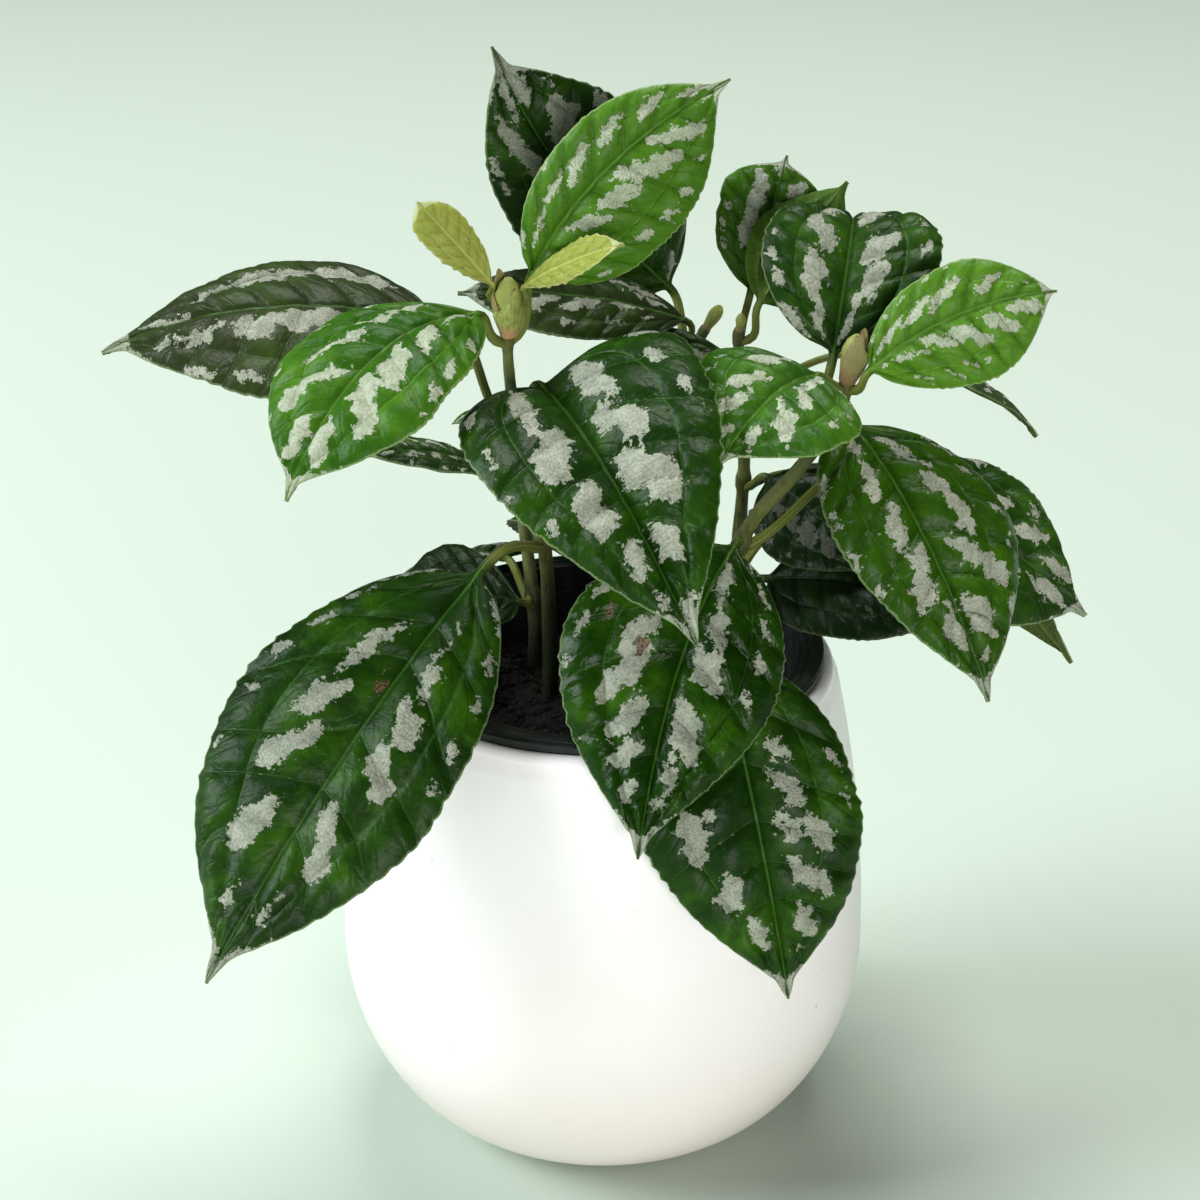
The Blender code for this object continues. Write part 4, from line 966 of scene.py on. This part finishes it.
    # The stalk is a round with a flattened top that opens into the blade
    turns = [
        start + form["stalkRound"] * (0.5 - np.arange(len(c)) / (len(c) - 1))
        for start, c in ((90, topColumns), (-90, lowColumns))
    ]
    ring = np.radians(np.concatenate(turns))[None, :]
    thick = girth * form["stalkSlim"] * np.ones_like(t)
    thick[0] *= 0.9
    thick[1:4, 0] *= form["stalkFlare"]
    roundZ = thick * np.sin(ring) * np.where(isTop > 0, 0.8, 1.0)
    opened = isBlade * easeUp(t, 0.0, 0.045)
    acrossMm = thick * np.cos(ring) * (1 - opened) + x * opened
    heightMm = roundZ * (1 - opened) + bladeHeight * opened
    points = middle[:, None] + sideways[:, None] * acrossMm[..., None]
    points = points + upward[:, None] * heightMm[..., None]

    # What the finish needs to know of each point
    depths = []
    for k, hand in enumerate(("left", "right")):
        strokes = [[number / 100 for number in stroke] for stroke in spec[hand]]
        strokes = strokes or seededPatches(seed + 7 + k)
        outline = (spec["widest"][k], spec["root"][k], spec["taper"][k], spec["end"])
        depths.append(strokeDepth(strokes, np.abs(x), y, length, spec["halves"][k], outline, spec["patch"]))
    depth = np.where(right, depths[1], depths[0])
    tipRim = patchShape["tipRim"] * easeUp(t, 0.86, 0.95) - (1 - a) * bladeReach
    outside = patchShape["outside"]
    depth = np.maximum(depth, np.clip(np.minimum((t - 0.88) * 25, tipRim), outside, 2))
    depth = np.where(opened > 0.5, depth * np.clip(24 / width, 1, 1.6), outside)
    scar = np.full(x.shape, outside)
    for t0, q0, radius in spec["scars"]:
        away = np.hypot(x - q0 * bladeReach, (t - t0) * length * 0.6)
        scar = np.maximum(scar, np.where(right, radius - away, outside))
    edge = np.where(opened > 0.5, (1 - a) * bladeReach, 6.0)
    nearBlade = np.concatenate([[0.0], u, np.ones(bladeRows)])[:, None]
    stalkShare = 1 - np.clip(opened * easeUp(t, 0.0, 0.06), 0, 1)
    stalkShare = stalkShare * (1 - 0.65 * easeUp(nearBlade, 0.7, 1.0))
    attributes = {
        "place": threes(acrossMm, y + (isBlade - 1) * 10, seed * 3.7),
        "field": threes(depth, lateral + (1 - opened) * 5, cells),
        "rim": threes(edge, t, scar),
        "side": threes(1 - isTop, stalkShare, spec["grey"]),
        "tone": threes(spec["fresh"] + 0 * x, spec["warm"], spec["gloss"]),
    }
    count = steps.shape[1]
    faces = ringFaces(len(points), count).tolist()
    faces.append(list(range(count))[::-1])
    faces.append(list(range((len(points) - 1) * count, len(points) * count)))
    label = name.replace("leaf_", "leaf.")
    return makePiece(label, points.reshape(-1, 3), faces, spec["finish"], name, attributes, 60)


leafPieces = [makeLeaf(name, spec, 11 + 13 * k) for k, (name, spec) in enumerate(leaves.items())]
print("leaves made:", len(leafPieces), "with", sum(len(p.data.polygons) for p in leafPieces), "faces")


# Geometry Nodes

class Growth:
    # A Geometry Nodes tree, with inputs by name
    def __init__(self, name, **inputs):
        self.tree = bpy.data.node_groups.new(name, "GeometryNodeTree")
        self.tree.is_modifier = True
        self.sockets = {}
        for label, kind in {"Carrier": "Geometry", **inputs}.items():
            made = self.tree.interface.new_socket(label, in_out="INPUT", socket_type="NodeSocket" + kind)
            self.sockets[label] = made.identifier
        self.tree.interface.new_socket("Result", in_out="OUTPUT", socket_type="NodeSocketGeometry")
        self.source = self.tree.nodes.new("NodeGroupInput")
        self.sink = self.tree.nodes.new("NodeGroupOutput")

    def given(self, label):
        return self.source.outputs[label]

    def node(self, kind, settings, inputs, out=0):
        made = self.tree.nodes.new(kind)
        for key, value in settings.items():
            setattr(made, key, value)
        for key, value in inputs.items():
            if isinstance(value, bpy.types.NodeSocket):
                self.tree.links.new(value, made.inputs[key])
            else:
                made.inputs[key].default_value = value
        return made.outputs[out]

    def draw(self, low, high):
        # A random vector for each spot
        inputs = {"Min": low, "Max": high, "Seed": self.given("Seed")}
        return self.node("FunctionNodeRandomValue", {"data_type": "FLOAT_VECTOR"}, inputs)

    def scatter(self, instance, turn, size):
        # The instance at random spots on the upper side of the carrier
        up = self.node("ShaderNodeSeparateXYZ", {}, {0: self.node("GeometryNodeInputNormal", {}, {})}, 2)
        settings = {"data_type": "FLOAT", "operation": "GREATER_THAN"}
        isTop = self.node("FunctionNodeCompare", settings, {0: up, 1: 0.3})
        spots = {"Mesh": self.given("Carrier"), "Selection": isTop}
        spots |= {label: self.given(label) for label in ("Density", "Seed")}
        spots = self.node("GeometryNodeDistributePointsOnFaces", {}, spots)
        inputs = {"Points": spots, "Instance": instance, "Rotation": turn, "Scale": size}
        return self.node("GeometryNodeInstanceOnPoints", {}, inputs)

    def end(self, geometry, finish):
        whole = self.node("GeometryNodeRealizeInstances", {}, {0: geometry})
        painted = self.node("GeometryNodeSetMaterial", {}, {0: whole, "Material": finish})
        self.tree.links.new(painted, self.sink.inputs[0])

    def grow(self, name, carrier, values):
        # The tree's result on the carrier as a plain mesh object
        holder = carrier.modifiers.new(name, "NODES")
        holder.node_group = self.tree
        for label, value in values.items():
            holder[self.sockets[label]] = value
        evaluated = carrier.evaluated_get(bpy.context.evaluated_depsgraph_get())
        mesh = bpy.data.meshes.new_from_object(evaluated)
        carrier.modifiers.remove(holder)
        mesh.name = name
        return newObject(name, mesh)


def tubeTree():
    # A tube along the carrier's line, as thick as its girth attribute says, with a rough skin
    g = Growth("stemTube", Sides="Int", Roughness="Float", Grain="Float")
    girth = g.node("GeometryNodeInputNamedAttribute", {"data_type": "FLOAT"}, {"Name": "girth"})
    line = g.node("GeometryNodeMeshToCurve", {}, {0: g.given("Carrier")})
    profile = g.node("GeometryNodeCurvePrimitiveCircle", {}, {"Resolution": g.given("Sides"), "Radius": 1.0})
    inputs = {"Curve": line, "Profile Curve": profile, "Scale": girth, "Fill Caps": True}
    tube = g.node("GeometryNodeCurveToMesh", {}, inputs)
    bumps = g.node("ShaderNodeTexNoise", {}, {"Scale": g.given("Grain"), "Detail": 2.0})
    centred = g.node("ShaderNodeMath", {"operation": "SUBTRACT"}, {0: bumps, 1: 0.5})
    amount = g.node("ShaderNodeMath", {"operation": "MULTIPLY"}, {0: centred, 1: g.given("Roughness")})
    normal = g.node("GeometryNodeInputNormal", {}, {})
    offset = g.node("ShaderNodeVectorMath", {"operation": "SCALE"}, {0: normal, "Scale": amount})
    moved = g.node("GeometryNodeSetPosition", {}, {0: tube, "Offset": offset})
    smooth = g.node("GeometryNodeSetShadeSmooth", {}, {0: moved})
    g.end(smooth, finishes["stem_green"])
    return g


def lineCarrier(name, points, girths, bark):
    mesh = bpy.data.meshes.new(name)
    edges = [(k, k + 1) for k in range(len(points) - 1)]
    mesh.from_pydata([tuple(Vector(p) * mm) for p in points], edges, [])
    mesh.attributes.new("girth", "FLOAT", "POINT").data.foreach_set("value", [g * mm for g in girths])
    mesh.attributes.new("bark", "FLOAT_VECTOR", "POINT").data.foreach_set("vector", np.ravel(bark))
    return newObject(name, mesh)


def makeStems():
    tree = tubeTree()
    values = {"Sides": stemShape["sides"], "Roughness": stemShape["roughness"], "Grain": stemShape["grain"]}
    made = []
    for name, stem in stems.items():
        low, top = stem["route"][0][2], stem["route"][-1][2]
        end = top + stem["budLength"] * budHeading(stem).z
        heights = np.arange(low, end, stemShape["step"])
        girths, bark = [], []
        for height in heights:
            near = nearestNode(name, height)
            ring = stemShape["ringSwell"] * math.exp(-((near - 1.2) / 0.5) ** 2)
            girths.append(stemRadius(name, height) * (1 + ring))
            inBud = max(0, (height - top) / (end - top))
            bark.append(((height - low) / (end - low), max(0, 1 - near / 4), inBud))
        carrier = lineCarrier(name + "Line", [stemPoint(stem, h) for h in heights], girths, bark)
        piece = tree.grow(name.replace("stem_", "stem."), carrier, values)
        bpy.data.objects.remove(carrier)
        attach(piece, "root")
        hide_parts(name)
        made.append(piece)
    return made


stemPieces = makeStems()
print("stems made:", len(stemPieces), "with", sum(len(p.data.polygons) for p in stemPieces), "faces")


# The sheaths at two growing tips: thin flaps round the bud, pinkish below and pointed above

def sheathFinish():
    # skin: share of the height, closeness to the edge, and brownness of the flap
    f = Finish("sheathSkin", {"Specular IOR Level": 0.35, "Subsurface Weight": 0.2})
    f.shader.inputs["Subsurface Radius"].default_value = (0.002, 0.002, 0.001)
    spot = f.spot()
    height, edge, brown = f.split(f.attribute("skin"))
    ribs = f.noise(f.stretched(spot, 0.22), 1.5, 2.0, 0.6)
    blotch = f.noise(spot, 0.5, 2.0)
    colour = f.blend(f.ease(ribs, 0.35, 0.65), (0.190, 0.240, 0.040), (0.360, 0.400, 0.110))
    colour = f.blend(f.ease(brown + (blotch - 0.5) * 0.5, 0.2, 0.8), colour, (0.225, 0.200, 0.075))
    base = f.ease(height + (blotch - 0.5) * 0.35, 0.42, 0.10)
    peach = f.blend(f.ease(brown, 0.2, 0.8), (0.450, 0.220, 0.125), (0.200, 0.110, 0.055))
    colour = f.blend(base * 0.8, colour, peach)
    colour = f.blend(f.ease(edge + (ribs - 0.5) * 0.5, 0.65, 1.0) * 0.7, colour, (0.300, 0.150, 0.070))
    f.feed("Base Color", colour)
    f.feed("Roughness", 0.38 + 0.2 * ribs)
    f.relief(ribs * 0.30 + blotch * 0.12)
    return f.material


sheaths = {
    "stem.left_sheath": dict(
        foot=(-19.9, -9.2, 191.5), top=(-20.0, -11.2, 203.0), turn=130, brown=(0.0, 0.6),
        footRadius=1.7, flapRadius=3.5, closed=0.42, spike=1.6, tall=(0.88, 1.12),
    ),
    "stem.right_sheath": dict(
        foot=(50.3, -22, 186.0), top=(52.7, -24.1, 196.0), turn=75, brown=(0.8, 0.95),
        footRadius=1.8, flapRadius=3.0, closed=0.72, spike=1.5, tall=(1.04, 0.98),
    ),
}
sheathShape = dict(rows=22, across=19, thick=0.22, span=104, narrowing=58)


def makeSheath(name, s):
    # Two curved flaps, each a closed thin shell: rings across run round its outer and inner face
    foot, top = Vector(s["foot"]), Vector(s["top"])
    axis = (top - foot).normalized()
    sideways = axis.cross(Vector((0, 1, 0))).normalized()
    forward = axis.cross(sideways)
    points, faces, skin = [], [], []
    rows, across = sheathShape["rows"], sheathShape["across"]
    for flap in (0, 1):
        first = len(points)
        for v in [k / (rows - 1) for k in range(rows)]:
            swell = math.sin(math.pi * min(1, v * 0.62 + 0.02)) ** 1.2
            pull = 1 - s["closed"] * easeUp(v, 0.55, 1.0)
            radius = s["footRadius"] + (s["flapRadius"] - s["footRadius"]) * swell * pull
            span = math.radians(sheathShape["span"] - sheathShape["narrowing"] * float(easeUp(v, 0.66, 1.0)))
            for face in (0, 1):
                order = range(across) if face == 0 else range(across - 1, -1, -1)
                for u in [2 * j / (across - 1) - 1 for j in order]:
                    turn = math.radians(s["turn"] + 180 * flap) + u * span
                    ripple = 0.10 * math.sin(9 * u + 5 * v + flap) * v
                    r = radius + ripple - sheathShape["thick"] * face
                    spike = s["spike"] * v * v * (1 - 2.4 * abs(u) ** 1.5)
                    rise = v * (top - foot).length * s["tall"][flap] + spike
                    place = foot + axis * rise + (sideways * math.cos(turn) + forward * math.sin(turn)) * r
                    points.append(tuple(place))
                    skin.append((v, max(abs(u) ** 6, float(easeUp(v, 0.9, 1.0))), s["brown"][flap]))
        count = 2 * across
        faces += (ringFaces(rows, count) + first).tolist()
        faces.append(list(range(first, first + count))[::-1])
        faces.append(list(range(first + (rows - 1) * count, first + rows * count)))
    return makePiece(name, points, faces, "stem_green", None, {"skin": skin}, 50, finishes["sheath"])


finishes["sheath"] = sheathFinish()
sheathPieces = [makeSheath(name, s) for name, s in sheaths.items()]
print("sheaths made:", len(sheathPieces))


# The soil: a lumpy plug, crumbs on it and fibres among them

soilShape = dict(level=99.0, radius=43.0, footRadius=32.4, bottom=25.3, rings=44, sides=120)
soilLumps = [(1.1, 3, 16), (0.55, 4, 5), (0.3, 5, 2.2)]  # height, seed and length
crumbDensity = 420000.0
crumbValues = {"Density": crumbDensity, "Seed": 5, "Smallest": 0.0003, "Largest": 0.0016}
fibreValues = {"Density": 42000.0, "Seed": 9, "Length": 0.006}


def makeSoil():
    count = soilShape["sides"]
    radii = np.linspace(1, 0, soilShape["rings"], endpoint=False) * soilShape["radius"]
    turns = np.linspace(0, 2 * math.pi, count, endpoint=False)
    x = radii[:, None] * np.cos(turns)
    y = radii[:, None] * np.sin(turns)
    z = soilShape["level"]
    for lump, seed, size in soilLumps:
        z = z + lump * waves(x, y, seed, size)
    top = np.stack([x, y, z], axis=-1).reshape(-1, 3)
    foot = roundRing(soilShape["footRadius"], soilShape["bottom"], count)
    points = np.concatenate([foot, top, [[0, 0, z[-1].mean()]]])
    faces = ringFaces(soilShape["rings"] + 1, count).tolist()
    last = soilShape["rings"] * count
    faces += [[last + k, last + (k + 1) % count, len(points) - 1] for k in range(count)]
    faces.append(list(range(count))[::-1])
    return makePiece("soil.top", points, faces, "soil", "soil")


def crumbTree():
    g = Growth("soilCrumbs", Density="Float", Seed="Int", Smallest="Float", Largest="Float")
    crumb = g.node("GeometryNodeMeshIcoSphere", {}, {"Radius": 1.0, "Subdivisions": 1})
    pick = g.node("FunctionNodeRandomValue", {"data_type": "FLOAT"}, {"Seed": g.given("Seed")}, 1)
    steep = g.node("ShaderNodeMath", {"operation": "POWER"}, {0: pick, 1: 2.6})
    size = g.node("ShaderNodeMapRange", {}, {0: steep, 3: g.given("Smallest"), 4: g.given("Largest")})
    stretch = g.draw((0.6, 0.6, 0.5), (1.3, 1.0, 0.9))
    scale = g.node("ShaderNodeVectorMath", {"operation": "SCALE"}, {0: stretch, "Scale": size})
    g.end(g.scatter(crumb, g.draw((0.0, 0.0, 0.0), (6.28, 6.28, 6.28)), scale), finishes["soilCrumbs"])
    return g


def fibreTree():
    g = Growth("soilFibres", Density="Float", Seed="Int", Length="Float")
    bend = g.node("GeometryNodeCurvePrimitiveBezierSegment", {}, {
        "Resolution": 5, "Start": (-0.5, 0, 0), "Start Handle": (-0.2, 0.2, 0.12),
        "End Handle": (0.2, -0.2, 0.16), "End": (0.5, 0.05, 0),
    })
    ring = g.node("GeometryNodeCurvePrimitiveCircle", {}, {"Resolution": 4, "Radius": 0.035})
    stick = g.node("GeometryNodeCurveToMesh", {}, {"Curve": bend, "Profile Curve": ring, "Fill Caps": True})
    inputs = {2: 0.4, 3: 1.2, "Seed": g.given("Seed")}
    share = g.node("FunctionNodeRandomValue", {"data_type": "FLOAT"}, inputs, 1)
    size = g.node("ShaderNodeMath", {"operation": "MULTIPLY"}, {0: share, 1: g.given("Length")})
    turn = g.draw((-0.25, -0.25, 0.0), (0.25, 0.25, 6.28))
    g.end(g.scatter(stick, turn, size), finishes["soilCrumbs"])
    return g


soilPiece = makeSoil()
crumbPiece = crumbTree().grow("soil.crumbs", soilPiece, crumbValues)
fibrePiece = fibreTree().grow("soil.fibres", soilPiece, fibreValues)
for piece in (crumbPiece, fibrePiece):
    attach(piece, "root")
crumbFaces, fibreFaces = [len(piece.data.polygons) for piece in (crumbPiece, fibrePiece)]
print("soil made:", crumbFaces, "crumb faces,", fibreFaces, "fibre faces")


# The white pot, turned finely, and the growing pot's rounded lip

potShape = dict(
    height=113.0, radius=60.5, widestAt=43.0, foot=31.0, rim=52.0, wall=4.4, floor=6.0, belly=1.85,
    shoulder=1.95, sides=160,
)


def potRadius(z):
    p = potShape
    if z <= p["widestAt"]:
        swell = (1 - ((p["widestAt"] - z) / p["widestAt"]) ** p["belly"]) ** (1 / p["belly"])
        return p["foot"] + (p["radius"] - p["foot"]) * swell
    rise = (z - p["widestAt"]) / (p["height"] - p["widestAt"])
    return p["radius"] - (p["radius"] - p["rim"]) * rise ** p["shoulder"]


def arc(radius, height, out, up, angles):
    # Part of a profile that runs round a lip
    turns = [math.radians(angle) for angle in angles]
    return [(radius + out * math.cos(turn), height + up * math.sin(turn)) for turn in turns]


def turned(name, profile, sides, slot, replaced):
    # A round body from its profile, which runs from the axis to the axis
    rings = [roundRing(r, z, sides) for r, z in profile]
    points = np.concatenate([*rings, [[0, 0, profile[0][1]]], [[0, 0, profile[-1][1]]]])
    faces = [quad[::-1] for quad in ringFaces(len(profile), sides).tolist()]
    last = (len(profile) - 1) * sides
    faces += [[(k + 1) % sides, k, len(points) - 2][::-1] for k in range(sides)]
    faces += [[last + k, last + (k + 1) % sides, len(points) - 1][::-1] for k in range(sides)]
    return makePiece(name, points, faces, slot, replaced)


def makePot():
    p = potShape
    lip = p["wall"] / 2
    inside = [(potRadius(z) - p["wall"], z) for z in np.linspace(p["floor"] + 6, p["height"] - 5, 30)]
    profile = [(8, p["floor"]), (20, p["floor"]), (30, p["floor"] + 0.3), (37, p["floor"] + 1.8), *inside]
    profile += arc(potRadius(p["height"]) - lip, p["height"] - lip, lip, lip, range(170, -1, -10))
    outside = [*np.linspace(p["height"] - lip - 2, 4, 70), 3, 2.2, 1.5, 0.9]
    profile += [(potRadius(z), z) for z in outside]
    foot = p["foot"]
    profile += [(foot + 1.0, 0.25), (foot, 0.0), (foot - 3, 0.0), (foot - 4, 0.8), (8, 1.2)]
    return turned("pot.glazed", profile, p["sides"], "white_ceramic", "pot")


lipShape = dict(radius=48.0, height=115.75, half=1.55, rise=0.55, sink=0.3, sides=160)


def makeLip():
    # A rolled bead on top of the growing pot's lip
    radius, height, sides = lipShape["radius"], lipShape["height"], lipShape["sides"]
    loop = arc(radius, height, lipShape["half"], lipShape["rise"], range(0, 181, 12))
    loop += [(radius - 0.9, height - lipShape["sink"]), (radius + 1.0, height - lipShape["sink"])]
    rings = [roundRing(r, z, sides) for r, z in loop]
    faces = ringFaces(len(loop) + 1, sides)
    count = len(loop) * sides
    faces = np.where(faces >= count, faces - count, faces).tolist()
    return makePiece("growing_pot.lip", np.concatenate(rings), faces, "dark_plastic", None)


makePot()
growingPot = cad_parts["growing_pot"].data
growingPot.materials.clear()
growingPot.materials.append(finishes["dark_plastic"])
makeLip()
print("pots made")


# The floor, the light and the camera

stage = dict(floorColour=(0.535, 0.625, 0.54, 1), roomColour=(0.97, 0.98, 0.95, 1), roomStrength=0.06)
lights = {
    "window": dict(
        place=(-1.7, -0.1, 1.1), target=(0, 0, 0.14), size=(1.1, 1.0), power=46.0, colour=(0.90, 0.97, 1.0),
    ),
    "overhead": dict(
        place=(0.2, 0.7, 2.4), target=(0, 0.1, 0.12), size=(1.3, 1.0), power=54.0, colour=(1.0, 1.0, 0.97),
    ),
    "frontFill": dict(
        place=(0.4, -2.1, 0.4), target=(0, 0, 0.08), size=(1.0, 0.7), power=32.0, colour=(1.0, 0.985, 0.965),
    ),
}
cameraShape = dict(place=(-0.0007, -0.5416, 0.3723), tilt=65.57, lens=80, sensor=36, nearest=0.01)

floorMesh = bpy.data.meshes.new("floor")
floorMesh.from_pydata([(-4, -4, 0), (4, -4, 0), (4, 6, 0), (-4, 6, 0)], [], [(0, 1, 2, 3)])
floor = newObject("floor", floorMesh)
paper = Finish("palePaper", {"Base Color": stage["floorColour"], "Roughness": 0.85})
floorMesh.materials.append(paper.material)

world = bpy.data.worlds.new("paleRoom")
bpy.context.scene.world = world
world.use_nodes = True
room = world.node_tree.nodes["Background"]
room.inputs["Color"].default_value = stage["roomColour"]
room.inputs["Strength"].default_value = stage["roomStrength"]


def softLight(name, place, target, size, power, colour):
    data = bpy.data.lights.new(name, "AREA")
    data.shape = "RECTANGLE"
    data.size, data.size_y = size
    data.energy = power
    data.color = colour
    light = newObject(name, data)
    light.location = place
    light.rotation_euler = (Vector(target) - Vector(place)).to_track_quat("-Z", "Y").to_euler()


for name, values in lights.items():
    softLight(name, **values)

cameraData = bpy.data.cameras.new("camera")
cameraData.lens = cameraShape["lens"]
cameraData.sensor_width = cameraShape["sensor"]
cameraData.clip_start = cameraShape["nearest"]
camera = newObject("camera", cameraData)
camera.location = cameraShape["place"]
camera.rotation_euler = (math.radians(cameraShape["tilt"]), 0, 0)
bpy.context.scene.camera = camera
bpy.context.scene.view_settings.view_transform = "Standard"
bpy.context.view_layer.update()
